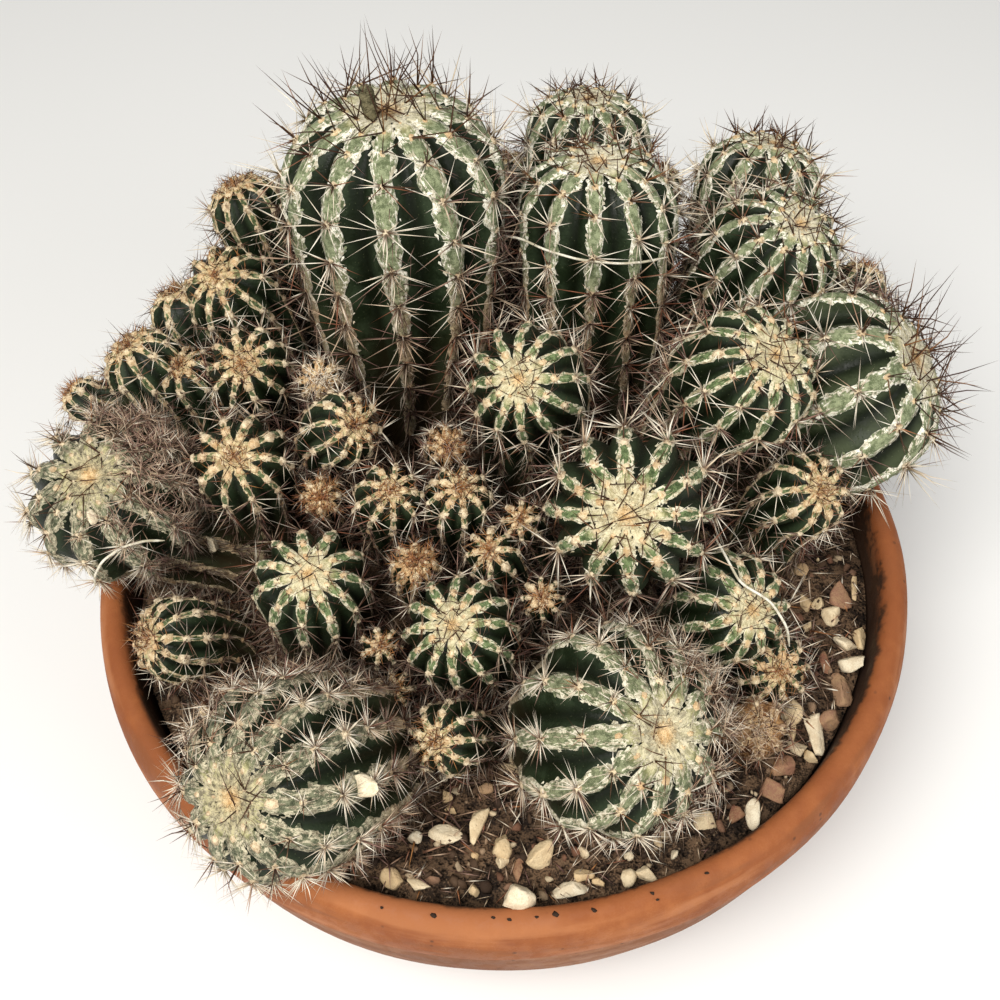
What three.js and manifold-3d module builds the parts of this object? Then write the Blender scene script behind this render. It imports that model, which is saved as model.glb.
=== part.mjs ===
// A clump of haku-jo echinopsis, many ribbed cactus heads grown close together,
// standing in the soil of a low terracotta bowl.
// Millimetres, +Z up. The origin is the centre of the bowl's flat underside,
// and the side of the clump that shows the soil and the pebbles faces -Y.

import * as THREE from 'three';
import Module from 'manifold-3d';

const wasm = await Module();
wasm.setup();

// Driving dimensions of the bowl
const POT_HEIGHT = 72;
const POT_FOOT_RADIUS = 60;
const POT_FLOOR = 7;
const POT_SIDES = 30;
const POT_OUTLINE = [
  [0, 0],
  [POT_FOOT_RADIUS, 0],
  [82, 13],
  [94, 36],
  [97.6, 55],
  [99.7, 57.5],
  [99.8, 66],
  [96, POT_HEIGHT],
  [92.3, 69],
  [88, 38],
  [56, POT_FLOOR],
  [0, POT_FLOOR],
];

// The soil, its pebbles and the clearance that pieces keep to each other
const SOIL_TOP = 64;
const SOIL_RADIUS = 90.4;
const ROOT_END = 58;
const HOLE_TOP = 67;
const CLEARANCE = 0.3;
const PEBBLE_COUNT = 20;
const PEBBLE_LEAST = 5;
const PEBBLE_SPREAD = 4;
const PEBBLE_TRIES = 900;
const SOIL_OUTLINE = [
  [0, POT_FLOOR + CLEARANCE],
  [55.6, POT_FLOOR + CLEARANCE],
  [87.4, 38.2],
  [SOIL_RADIUS, SOIL_TOP - 1],
  [SOIL_RADIUS - 3, SOIL_TOP],
  [0, SOIL_TOP],
];

// Shape of a head, as shares of its radius
const RIB_DEPTH = 0.17;
const CREST_HALF_ANGLE = 0.085;
const CROWN_SINK = 0.05;
const NECK_SHARE = 0.72;
const BARREL_NECK_SHARE = 0.6;
const LARGE_RADIUS = 26;
const BUD_RADIUS = 6;
const LYING_LEAN = 45;
const HULL_CLEAR = CLEARANCE * 2.2;

// Rings down a head, the first at the crown: how far below it, how wide, and how deep
// the furrows are, as shares of the radius
const BUD_RINGS = [
  { below: 0.06, wide: 0.55, furrow: 0.8 },
  { below: 0.75, wide: 1, furrow: 1 },
];
const DOME_RINGS = [
  { below: 0, wide: 0.36, furrow: 0.5 },
  { below: 0.27, wide: 0.8, furrow: 1 },
  { below: 0.85, wide: 1, furrow: 1 },
];
const BARREL_RINGS = [
  { below: 0, wide: 0.3, furrow: 0.3 },
  { below: 0.11, wide: 0.62, furrow: 0.8 },
  { below: 0.38, wide: 0.88, furrow: 1 },
  { below: 0.9, wide: 1, furrow: 1 },
];
const WAIST = { wide: 0.96, furrow: 1 };
const LOWER_FLANK = { wide: 0.8, furrow: 0.9 };

// A plane parts two heads unless it would leave less than this share of either one
const MOST_KEPT = 0.93;

// Felt strips and spines
const FELT_HEIGHT = 1.3;
const FELT_WIDE = 2.5;
const FELT_PINCHED = 1.5;
const SPINE_RADIUS = 0.5;
const SPINE_INSET = 0.16;
const SPINE_CLEAR = 1.2;
const LONG_SPINE = 12;
const SHORT_SPINE = 5;
const SPINE_LEAST_FACING = 0.35;
const SPINE_FOOT_REACH = 3;

const UP = new THREE.Vector3(0, 0, 1);

const LOOKS = {
  terracotta: { color: 0xb5683f, roughness: 0.85, metalness: 0 },
  soil: { color: 0x4a3a2d, roughness: 0.95, metalness: 0 },
  skin: { color: 0x2f4a2c, roughness: 0.6, metalness: 0 },
  felt: { color: 0xd9cfa6, roughness: 0.95, metalness: 0 },
  dry: { color: 0x8b6a48, roughness: 0.9, metalness: 0 },
};

// One head. The crown is the middle of its top, lean is the angle from upright and
// bearing the compass of that lean, 0 to the right and 90 to the back. The neck ends
// at the root, which is in the soil unless a third number gives a height on the flank
// of the head that bears it. More may hold felt, the areoles on a rib, neck, the width
// of the neck as a share of the radius, flank, where a ring rounds the lower side,
// and dry, for a head that has turned brown.
function head(name, crown, lean, bearing, radius, length, ribs, root, more = {}) {
  return { name, crown, lean, bearing, radius, length, ribs, root, ...more };
}

const HEADS = [
  head('head_tall', [-24, 59, 157], 2, 100, 27, 78, 12, [-24, 56], { felt: 4, neck: 0.65 }),
  head('head_upright', [24, 56, 144], 6, 100, 19.5, 60, 11, [23, 52], { felt: 3, neck: 0.78 }),
  head('head_star', [25, -32, 122], 43, -103, 18, 27, 12, [30, -6], { felt: 2 }),
  head('head_front_right', [31, -71, 102], 40, -48, 22, 32, 12, [22, -56], { felt: 2 }),
  head('head_front_left', [-52, -85, 106], 46, -126, 20, 48, 12, [-28, -52], { felt: 3 }),
  head('head_left', [-91, -9, 111], 21, -105, 19.5, 24, 11, [-60, 4], { felt: 2 }),
  head('head_right', [98, 20, 113], 48, -10, 25.5, 36, 10, [66, 22], { felt: 2 }),
  head('head_right_upper', [71, 44, 134], 25, -36, 16.5, 38, 12, [52, 40], { felt: 2 }),
  head('head_right_inner', [60, 5, 130], 30, -41, 16, 28, 12, [46, 16], { felt: 2 }),
  head('head_middle', [4, 2, 127], 40, -109, 13.5, 20, 12, [6, 22], { neck: 0.9 }),
  head('head_back', [25, 99, 132], 10, 80, 17, 36, 11, [17, 75], { neck: 0.42, flank: true }),
  head('head_back_right', [70, 78, 132], 18, 50, 16, 34, 11, [48, 60], { neck: 0.42, flank: true }),
  head('head_left_star', [-42, -31, 103], 20, -79, 13, 20, 11, [-42, -24]),
  head('head_centre_star', [-11, -45, 103], 25, -109, 12.5, 20, 12, [-7, -34]),
  head('head_right_low', [54, -37, 94], 42, -60, 13, 20, 11, [47, -24]),
  head('head_right_ball', [72, -11, 103], 36, -57, 10, 14, 10, [62, -4]),
  head('head_left_low', [-81, -33, 82], 50, -150, 10, 18, 11, [-66, -24], { flank: true }),
  head('head_left_ball', [-59, -6, 113], 30, -90, 11, 16, 10, [-60, 4, 66]),
  head('head_left_round', [-60, 22, 114], 33, -92, 10, 14, 10, [-66, 36]),
  head('head_left_upper', [-68, 46, 120], 25, -120, 11.5, 16, 10, [-56, 50]),
  head('head_left_top', [-64, 68, 130], 20, 150, 9.5, 14, 10, [-54, 62]),
  head('head_outer_left', [-91, 36, 107], 25, 170, 10, 14, 10, [-74, 27]),
  head('head_outer_inner', [-78, 32, 104], 15, -150, 8, 11, 8, [-70, 20]),
  head('head_outer_rib', [-81, 52, 110], 20, 150, 9, 12, 7, [-68, 45]),
  head('bud_outer', [-106, 30, 98], 50, 165, 5.5, 8, 8, [-88, 34, 90]),
  head('bud_woolly', [-41, 14, 116], 42, -78, 5, 7, 8, [-40, 26]),
  head('head_inner_ball', [-32, -1, 117], 44, -39, 8.5, 12, 10, [-34, 14]),
  head('head_inner_small', [-24, -15, 111], 25, -60, 7.5, 11, 9, [-22, -4]),
  head('bud_orange_left', [-41, -9, 102], 39, -93, 5, 7, 8, [-40, 2]),
  head('bud_shaded', [-12, 0, 108], 40, -79, 4.8, 7, 8, [-12, 14]),
  head('head_inner_round', [-9, -13, 109], 15, -60, 7.5, 11, 9, [-7, -2]),
  head('bud_centre', [-3, -26, 103], 25, -110, 6, 9, 8, [4, -18]),
  head('bud_red', [-19, -27, 101], 18, -74, 5.5, 9, 8, [-18, -18]),
  head('bud_cream', [8, -35, 98], 30, -104, 4.6, 7, 8, [9, -26]),
  head('bud_middle', [4, -20, 106], 35, -105, 4.6, 7, 8, [14, -12]),
  head('head_front_small', [-15, -65, 90], 40, -124, 8, 12, 9, [-4, -50]),
  head('bud_front', [-24, -50, 86], 30, -82, 4.2, 6, 7, [-22, -38]),
  head('bud_front_upper', [-27, -41, 89], 28, -78, 4.4, 6, 7, [-29, -34]),
  head('head_right_lowest', [61, -44, 80], 40, -78, 8.5, 11, 9, [62, -36]),
  head('head_dry', [55, -56, 76], 32, -100, 7.2, 8, 8, [54, -52], { dry: true }),
  head('head_outer_right', [91, 50, 115], 40, 60, 6.5, 10, 8, [84, 34, 104]),
  head('head_rear_right', [84, 62, 108], 40, 45, 8, 12, 8, [64, 48], { neck: 0.4 }),
  head('head_rear_between', [44, 96, 112], 25, 80, 7, 11, 8, [33, 70], { neck: 0.4 }),
  head('head_rear_middle', [3, 96, 116], 18, 90, 9.5, 14, 8, [-1, 76], { neck: 0.5 }),
  head('head_rear_left', [-54, 86, 116], 25, 115, 10, 15, 8, [-44, 69], { neck: 0.5 }),
  head('head_rear_low', [-24, 93, 96], 26, 95, 8.5, 12, 8, [-23, 77], { neck: 0.45 }),
  head('head_rear_low_left', [-73, 64, 95], 30, 138, 8.5, 11, 8, [-61, 53], { neck: 0.45 }),
];

function vector(x, y, z) {
  return new THREE.Vector3(x, y, z);
}

function random(seed) {
  let state = (seed * 2654435761) % 4294967296;
  return () => {
    state = (state * 1664525 + 1013904223) % 4294967296;
    return state / 4294967296;
  };
}

function solid({ points, triangles }) {
  const vertProperties = new Float32Array(points.flatMap((p) => [p.x, p.y, p.z]));
  const triVerts = new Uint32Array(triangles.flat());
  return new wasm.Manifold(new wasm.Mesh({ numProp: 3, vertProperties, triVerts }));
}

function largestBody(manifold) {
  const bodies = manifold.decompose();
  bodies.sort((a, b) => b.volume() - a.volume());
  return bodies[0];
}

function meshFrom(manifold, name, look) {
  const { vertProperties, triVerts } = largestBody(manifold).getMesh();
  const geometry = new THREE.BufferGeometry();
  geometry.setAttribute('position', new THREE.BufferAttribute(vertProperties, 3));
  geometry.setIndex(new THREE.BufferAttribute(triVerts, 1));
  const mesh = new THREE.Mesh(geometry, new THREE.MeshStandardMaterial(look));
  mesh.name = name;
  return mesh;
}

// Joins rings of points, the first nearest the top, into one closed shape. A ring may
// have a whole number of times as many points as the next, which it then fans in to.
function loft(top, rings, bottom) {
  const points = [top];
  const starts = rings.map((ring) => {
    points.push(...ring);
    return points.length - ring.length;
  });
  points.push(bottom);
  const triangles = [];
  const first = rings[0].length;
  for (let i = 0; i < first; i += 1) triangles.push([0, starts[0] + i, starts[0] + (i + 1) % first]);
  for (let r = 0; r + 1 < rings.length; r += 1) {
    const upper = rings[r].length;
    const lower = rings[r + 1].length;
    const group = upper / lower;
    const above = (i) => starts[r] + i % upper;
    const below = (i) => starts[r + 1] + i % lower;
    for (let k = 0; k < lower; k += 1) {
      const [start, end] = [k * group, (k + 1) * group];
      for (let i = start; i < end; i += 1) triangles.push([above(i), below(k), above(i + 1)]);
      triangles.push([above(end), below(k), below(k + 1)]);
    }
  }
  const end = starts[rings.length - 1];
  const count = rings[rings.length - 1].length;
  for (let i = 0; i < count; i += 1) triangles.push([points.length - 1, end + (i + 1) % count, end + i]);
  return { points, triangles, taken: new Set() };
}

// The direction a head points in, and two directions square to it
function frameOf(head) {
  const lean = THREE.MathUtils.degToRad(head.lean);
  const bearing = THREE.MathUtils.degToRad(head.bearing);
  const level = vector(Math.cos(bearing), Math.sin(bearing), 0);
  const axis = level.multiplyScalar(Math.sin(lean)).addScaledVector(UP, Math.cos(lean));
  const side = vector(1, 0, 0).addScaledVector(axis, -axis.x).normalize();
  return { axis, side, across: vector(0, 0, 0).crossVectors(axis, side) };
}

// The rings of one head, by its size and kind
function stationsOf(head) {
  const lowest = { ...LOWER_FLANK, below: head.length / head.radius };
  if (head.radius < BUD_RADIUS) return BUD_RINGS;
  if (head.flank) return [...DOME_RINGS, lowest];
  if (!head.felt) return DOME_RINGS;
  if (head.felt < 3) return [...BARREL_RINGS, lowest];
  const widest = BARREL_RINGS[BARREL_RINGS.length - 1];
  return [...BARREL_RINGS, { ...WAIST, below: (widest.below + lowest.below) / 2 }, lowest];
}

function rootOf(head) {
  const [x, y, z = ROOT_END] = head.root;
  return vector(x, y, z);
}

function centreAt(head, below) {
  return vector(...head.crown).addScaledVector(frameOf(head).axis, -below);
}

function around(centre, side, across, angle, reach) {
  return centre.clone()
    .addScaledVector(side, Math.cos(angle) * reach)
    .addScaledVector(across, Math.sin(angle) * reach);
}

function levelRing(centre, sides, reach, turn) {
  return Array.from({ length: sides }, (_, i) => (
    around(centre, vector(1, 0, 0), vector(0, 1, 0), turn + i * 2 * Math.PI / sides, reach)
  ));
}

// A ring of ribs: a furrow and a crest for each, the crest flat on the largest heads
function ribRing(head, station) {
  const { side, across } = frameOf(head);
  const centre = centreAt(head, station.below * head.radius);
  const step = 2 * Math.PI / head.ribs;
  const crest = station.wide * head.radius;
  const furrow = crest * (1 - RIB_DEPTH * station.furrow);
  const half = Math.min(step * 0.3, CREST_HALF_ANGLE / station.wide);
  const flat = head.radius > LARGE_RADIUS;
  const ring = [];
  for (let rib = 0; rib < head.ribs; rib += 1) {
    const middle = rib * step;
    ring.push(around(centre, side, across, middle - step / 2, furrow));
    if (flat) {
      ring.push(around(centre, side, across, middle - half, crest));
      ring.push(around(centre, side, across, middle + half, crest));
    } else {
      ring.push(around(centre, side, across, middle, crest));
    }
  }
  return ring;
}

function neckOf(head) {
  return head.radius * (head.neck || (head.felt ? BARREL_NECK_SHARE : NECK_SHARE));
}

function turnOf(head) {
  const { side } = frameOf(head);
  return Math.atan2(side.y, side.x);
}

function bodyOf(head) {
  const rings = stationsOf(head).map((station) => ribRing(head, station));
  rings.push(levelRing(rootOf(head), head.ribs, neckOf(head), turnOf(head)));
  return loft(centreAt(head, CROWN_SINK * head.radius), rings, rootOf(head));
}

function endOf(head) {
  const stations = stationsOf(head);
  const last = stations[stations.length - 1];
  return { centre: centreAt(head, last.below * head.radius), reach: last.wide * head.radius };
}

// The plain hole that a head's neck stands in: wider at the top of the soil than below
function holeOf(head) {
  const sides = head.felt ? 8 : 5;
  const root = rootOf(head).add(vector(0, 0, -CLEARANCE));
  const end = endOf(head);
  const share = (HOLE_TOP - ROOT_END) / (end.centre.z - ROOT_END);
  const middle = rootOf(head).lerp(end.centre, share);
  middle.z = HOLE_TOP;
  const slant = 1 + 0.3 * Math.sin(THREE.MathUtils.degToRad(head.lean)) * share;
  const grow = (reach) => (reach + CLEARANCE * 2) / Math.cos(Math.PI / sides);
  const upper = grow(THREE.MathUtils.lerp(neckOf(head), end.reach, share) * slant);
  const turn = turnOf(head);
  const rings = [levelRing(middle, sides, upper, turn), levelRing(root, sides, grow(neckOf(head)), turn)];
  return solid(loft(middle.clone(), rings, root));
}

// How large the felt of a head is beside the plain sizes
function feltScale(head) {
  return THREE.MathUtils.clamp(head.radius / 22, 0.75, 1.15);
}

// A plain hull over the crests of a head and its neck, to press its bed in the soil or
// to cut back a smaller neighbour that sits on it
function hullOf(head) {
  const { side, across } = frameOf(head);
  const extra = HULL_CLEAR + (head.felt ? FELT_HEIGHT * feltScale(head) : 0);
  const step = 2 * Math.PI / head.ribs;
  const rings = stationsOf(head).map((station) => {
    const centre = centreAt(head, station.below * head.radius);
    const reach = station.wide * head.radius + extra;
    const crest = (_, rib) => around(centre, side, across, rib * step, reach);
    return Array.from({ length: head.ribs }, crest);
  });
  const root = rootOf(head).add(vector(0, 0, -CLEARANCE));
  rings.push(levelRing(root, head.ribs, neckOf(head) + extra, turnOf(head)));
  return solid(loft(centreAt(head, -extra), rings, root));
}

// Balls along the middle of a head, to measure how near two heads come
function ballsOf(head) {
  if (head.balls) return head.balls;
  const cover = head.felt ? FELT_HEIGHT + CLEARANCE : 0;
  const end = endOf(head);
  const root = rootOf(head);
  const balls = [];
  const lowest = Math.max(head.length, head.radius);
  for (let below = 0.75 * head.radius; below <= lowest; below += head.radius * 0.3) {
    balls.push({ centre: centreAt(head, below), reach: head.radius * 0.97 + cover });
  }
  for (const share of [0, 0.25, 0.5, 0.75, 1]) {
    const reach = THREE.MathUtils.lerp(end.reach, neckOf(head), share);
    balls.push({ centre: end.centre.clone().lerp(root, share), reach });
  }
  head.balls = balls;
  return balls;
}

// How far apart two heads are, and the plane midway between their surfaces there
function partingOf(one, other) {
  let best = null;
  for (const a of ballsOf(one)) {
    for (const b of ballsOf(other)) {
      const apart = a.centre.distanceTo(b.centre);
      const gap = apart - a.reach - b.reach;
      if (!best || gap < best.gap) best = { gap, a, b, apart };
    }
  }
  const normal = best.b.centre.clone().sub(best.a.centre).normalize();
  const along = (best.apart + best.a.reach - best.b.reach) / 2;
  return { gap: best.gap, normal, offset: normal.dot(best.a.centre) + along };
}

// A place on the crest of a rib, counted in rings from the crown, with the way out of it
function crestPoint(head, rib, place) {
  const { axis, side, across } = frameOf(head);
  const stations = stationsOf(head);
  const angle = rib * 2 * Math.PI / head.ribs;
  const radial = around(vector(0, 0, 0), side, across, angle, 1);
  const tangent = vector(0, 0, 0).crossVectors(axis, radial);
  const pointAt = (station) => centreAt(head, station.below * head.radius)
    .addScaledVector(radial, station.wide * head.radius);
  const outward = (from, to) => vector(0, 0, 0).crossVectors(tangent, to.clone().sub(from)).normalize();
  const upper = Math.min(Math.floor(place), stations.length - 2);
  const from = pointAt(stations[upper]);
  const to = pointAt(stations[upper + 1]);
  const out = outward(to, from);
  if (place === upper && upper > 0) out.add(outward(from, pointAt(stations[upper - 1]))).normalize();
  return { at: from.clone().lerp(to, place - upper), out, tangent };
}

// Areoles, where the felt is pinched and thick, and the swellings between them down a rib
function feltPlaces(head) {
  const rings = stationsOf(head).length - 1;
  const places = [{ place: 0, wide: FELT_PINCHED, high: FELT_HEIGHT }];
  for (let ring = 1; ring <= rings; ring += 1) {
    const split = head.felt > 3 && ring > 3;
    if (split) places.push({ place: ring - 0.5, wide: FELT_WIDE, high: FELT_HEIGHT * 0.7 });
    const areole = split || ring % 2 === 1;
    const wide = areole ? FELT_PINCHED : FELT_WIDE;
    places.push({ place: ring, wide, high: areole ? FELT_HEIGHT : FELT_HEIGHT * 0.7 });
  }
  const last = places[places.length - 1];
  last.place -= 0.12;
  last.wide = FELT_PINCHED * 0.5;
  return places;
}

// The felt of a large head: a woolly cap, and a strip down the crest of every rib
function feltOf(head) {
  const scale = feltScale(head);
  const places = feltPlaces(head);
  const count = places.length;
  const capTop = centreAt(head, -CLEARANCE - FELT_HEIGHT);
  const capUnder = centreAt(head, CROWN_SINK * head.radius - CLEARANCE);
  const points = [capTop, capUnder];
  const triangles = [];
  const index = (rib, step, corner) => 2 + ((rib % head.ribs) * count + step) * 3 + corner;
  for (let rib = 0; rib < head.ribs; rib += 1) {
    for (const { place, wide, high } of places) {
      const crest = crestPoint(head, rib, place);
      const reach = stationsOf(head)[Math.floor(place)].wide * head.radius;
      const half = Math.min(wide * scale, reach * Math.tan(Math.PI / head.ribs) * 0.8);
      const base = crest.at.clone().addScaledVector(crest.out, CLEARANCE * 1.2);
      points.push(
        base.clone().addScaledVector(crest.tangent, -half),
        base.clone().addScaledVector(crest.out, high * scale),
        base.clone().addScaledVector(crest.tangent, half),
      );
    }
    triangles.push([0, index(rib, 0, 0), index(rib, 0, 1)], [0, index(rib, 0, 1), index(rib, 0, 2)]);
    triangles.push([0, index(rib, 0, 2), index(rib + 1, 0, 0)]);
    triangles.push([1, index(rib, 0, 2), index(rib, 0, 0)], [1, index(rib + 1, 0, 0), index(rib, 0, 2)]);
    for (let step = 0; step + 1 < count; step += 1) {
      for (let corner = 0; corner < 3; corner += 1) {
        const next = (corner + 1) % 3;
        const [a, b] = [index(rib, step, corner), index(rib, step, next)];
        const [c, d] = [index(rib, step + 1, corner), index(rib, step + 1, next)];
        triangles.push([a, c, b], [b, c, d]);
      }
    }
    triangles.push([index(rib, count - 1, 0), index(rib, count - 1, 2), index(rib, count - 1, 1)]);
  }
  return { points, triangles, taken: new Set() };
}

// The spines that a head would carry, by rib and ring
function spineWishes(head, draw) {
  const wishes = [];
  const last = stationsOf(head).length - 1;
  const long = head.felt ? LONG_SPINE : SHORT_SPINE + head.radius * 0.35;
  for (let rib = 0; rib < head.ribs; rib += 1) {
    let levels = [[0.6], [1.5], []][rib % 3];
    if (head.felt) levels = rib % 2 ? [0.9, 3.2] : [2.1, 4.5];
    if (head.radius < BUD_RADIUS) levels = rib % 2 ? [0.5] : [];
    for (const level of levels) {
      if (level > last) continue;
      const crest = crestPoint(head, rib, level);
      const hand = draw() < 0.5 ? -1 : 1;
      const direction = crest.out.clone()
        .addScaledVector(crest.tangent, hand * (0.4 + draw() * 0.4))
        .addScaledVector(frameOf(head).axis, 0.3)
        .normalize();
      const foot = crest.at.clone()
        .addScaledVector(crest.out, head.felt ? FELT_HEIGHT : 0)
        .addScaledVector(crest.tangent, hand * SPINE_RADIUS * 1.2);
      wishes.push({ foot, direction, length: long * (0.8 + draw() * 0.35) });
    }
  }
  return wishes;
}

function distanceBetween(one, other) {
  const steps = 8;
  let least = Infinity;
  for (let i = 0; i <= steps; i += 1) {
    const point = one.foot.clone().addScaledVector(one.direction, one.length * i / steps);
    const reached = point.clone().sub(other.foot).dot(other.direction);
    const along = THREE.MathUtils.clamp(reached, 0, other.length);
    least = Math.min(least, point.distanceTo(other.foot.clone().addScaledVector(other.direction, along)));
  }
  return least;
}

// True where a spine stays clear of the other heads, the bowl, the soil and other spines
function spineIsClear(wish, owner, placed) {
  for (const share of [0.25, 0.5, 0.75, 1]) {
    const point = wish.foot.clone().addScaledVector(wish.direction, wish.length * share);
    const overRim = Math.hypot(point.x, point.y) > SOIL_RADIUS - 2;
    if (point.z < (overRim ? POT_HEIGHT + 2 : SOIL_TOP + 7)) return false;
    const within = (ball) => point.distanceTo(ball.centre) < ball.reach + SPINE_CLEAR;
    if (HEADS.some((head) => head !== owner && ballsOf(head).some(within))) return false;
  }
  return placed.every((other) => distanceBetween(wish, other) > SPINE_CLEAR);
}

// Shares of a triangle's corners in the point of it nearest to a given one, kept off its edges
function sharesIn([a, b, c], point) {
  const shares = THREE.Triangle.getBarycoord(point, a, b, c, vector(0, 0, 0));
  const kept = shares.toArray().map((share) => Math.max(share, SPINE_INSET));
  const sum = kept[0] + kept[1] + kept[2];
  return kept.map((share) => share / sum);
}

// The face that lies nearest to the foot of a spine and turns the same way
function faceUnder(shape, wish) {
  let best = null;
  shape.triangles.forEach((triangle, face) => {
    if (shape.taken.has(face)) return;
    const corners = triangle.map((i) => shape.points[i]);
    const facing = new THREE.Triangle(...corners).getNormal(vector(0, 0, 0)).dot(wish.direction);
    if (facing < SPINE_LEAST_FACING) return;
    const foot = vector(0, 0, 0);
    sharesIn(corners, wish.foot).forEach((share, i) => foot.addScaledVector(corners[i], share));
    const away = foot.distanceTo(wish.foot);
    const roomy = corners.every((corner) => corner.distanceTo(foot) > SPINE_RADIUS * 1.3);
    if (roomy && (!best || away < best.away)) best = { away, face, foot, corners, triangle };
  });
  return best && best.away < SPINE_FOOT_REACH ? best : null;
}

// Raises a three-sided needle out of one face of a shape
function growSpine(shape, wish) {
  const under = faceUnder(shape, wish);
  if (!under) return false;
  const start = shape.points.length;
  for (const corner of under.corners) {
    const toward = corner.clone().sub(under.foot).normalize();
    shape.points.push(under.foot.clone().addScaledVector(toward, SPINE_RADIUS));
  }
  const tip = start + 3;
  shape.points.push(under.foot.clone().addScaledVector(wish.direction, wish.length));
  const added = [];
  for (let i = 0; i < 3; i += 1) {
    const next = (i + 1) % 3;
    added.push([under.triangle[i], under.triangle[next], start + next]);
    added.push([under.triangle[i], start + next, start + i]);
    added.push([start + i, start + next, tip]);
  }
  shape.triangles[under.face] = added.pop();
  shape.taken.add(under.face);
  for (const triangle of added) {
    shape.taken.add(shape.triangles.length);
    shape.triangles.push(triangle);
  }
  return true;
}

function lathe(outline, sides) {
  const points = [];
  const triangles = [];
  const rings = outline.map(([radius, z]) => {
    const ring = radius === 0 ? [vector(0, 0, z)] : levelRing(vector(0, 0, z), sides, radius, 0);
    points.push(...ring);
    return ring.map((_, i) => points.length - ring.length + i);
  });
  for (let r = 0; r + 1 < rings.length; r += 1) {
    const [lower, upper] = [rings[r], rings[r + 1]];
    for (let i = 0; i < sides; i += 1) {
      const next = (i + 1) % sides;
      if (lower.length > 1) triangles.push([lower[i], lower[next], upper[upper.length > 1 ? next : 0]]);
      if (upper.length > 1) triangles.push([lower[lower.length > 1 ? i : 0], upper[next], upper[i]]);
    }
  }
  return solid({ points, triangles });
}

// The bowl: a flat foot, a wall that swells out, a thick rounded band at the rim
function pot() {
  return lathe(POT_OUTLINE, POT_SIDES);
}

// A pebble: a box with its corners drawn in unevenly
function pebble(place, size, draw) {
  const squash = vector(0.8 + draw() * 0.4, 0.6 + draw() * 0.4, 0.5 + draw() * 0.3);
  const turn = draw() * Math.PI;
  const square = [[-1, -1], [1, -1], [1, 1], [-1, 1]];
  const corners = [-1, 1].flatMap((z) => square.map(([x, y]) => [x, y, z]));
  const points = corners.map(([x, y, z]) => {
    const pull = size / 2 * (0.62 + draw() * 0.3);
    return vector(x, y, z).multiply(squash).multiplyScalar(pull).applyAxisAngle(UP, turn).add(place);
  });
  const faces = [[3, 2, 1, 0], [4, 5, 6, 7], [0, 1, 5, 4], [1, 2, 6, 5], [2, 3, 7, 6], [3, 0, 4, 7]];
  return solid({ points, triangles: faces.flatMap(([a, b, c, d]) => [[a, b, c], [a, c, d]]) });
}

// Pebbles lie half sunk in the soil, wherever no head stands over them
function pebbles() {
  const draw = random(11);
  const placed = [];
  const stones = [];
  for (let tries = 0; tries < PEBBLE_TRIES && stones.length < PEBBLE_COUNT; tries += 1) {
    const reach = 30 + draw() * 56;
    const angle = draw() * 2 * Math.PI;
    const place = vector(Math.cos(angle) * reach, Math.sin(angle) * reach, SOIL_TOP + 0.8);
    const size = PEBBLE_LEAST + draw() * PEBBLE_SPREAD;
    const crowded = placed.some((other) => other.distanceTo(place) < PEBBLE_LEAST + PEBBLE_SPREAD);
    const covered = HEADS.some((head) => ballsOf(head).some((ball) => (
      ball.centre.distanceTo(place) < ball.reach + size * 0.75 + 1
    )));
    if (crowded || covered) continue;
    placed.push(place);
    stones.push(pebble(place, size, draw));
  }
  return stones;
}

// The soil fills the bowl up to a little below the rim. Every neck has its own plain hole.
function soil() {
  const body = lathe(SOIL_OUTLINE, POT_SIDES);
  const rooted = HEADS.filter((head) => head.root.length === 2);
  const holes = rooted.map((head) => (head.lean > LYING_LEAN ? hullOf(head) : holeOf(head)));
  return wasm.Manifold.union([body, ...pebbles()]).subtract(wasm.Manifold.union(holes));
}

// Heads with their spines and felt, each cut back to its own side where two would meet
function growClump() {
  const shapes = HEADS.map((head) => ({ body: bodyOf(head), felt: head.felt ? feltOf(head) : null }));
  const placed = [];
  HEADS.forEach((head, i) => {
    const bearer = shapes[i].felt || shapes[i].body;
    for (const wish of spineWishes(head, random(i + 1))) {
      if (spineIsClear(wish, head, placed) && growSpine(bearer, wish)) placed.push(wish);
    }
  });
  const bodies = shapes.map(({ body }) => solid(body));
  const felts = shapes.map(({ felt }) => (felt ? solid(felt) : null));
  const share = (kept, whole) => kept.volume() / whole.volume();
  for (let i = 0; i < HEADS.length; i += 1) {
    for (let j = i + 1; j < HEADS.length; j += 1) {
      const { gap, normal, offset } = partingOf(HEADS[i], HEADS[j]);
      if (gap > 2 * CLEARANCE) continue;
      const { x, y, z } = normal;
      const keepNear = (part) => part && part.trimByPlane([-x, -y, -z], -offset + CLEARANCE / 2);
      const keepFar = (part) => part && part.trimByPlane([x, y, z], offset + CLEARANCE / 2);
      const [near, far] = [keepNear(bodies[i]), keepFar(bodies[j])];
      if (Math.min(share(near, bodies[i]), share(far, bodies[j])) > MOST_KEPT) {
        [bodies[i], felts[i], bodies[j], felts[j]] = [near, keepNear(felts[i]), far, keepFar(felts[j])];
      } else {
        const [large, small] = HEADS[i].radius > HEADS[j].radius ? [i, j] : [j, i];
        const hull = hullOf(HEADS[large]);
        bodies[small] = bodies[small].subtract(hull);
        if (felts[small]) felts[small] = felts[small].subtract(hull);
      }
    }
  }
  return { bodies, felts };
}

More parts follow.
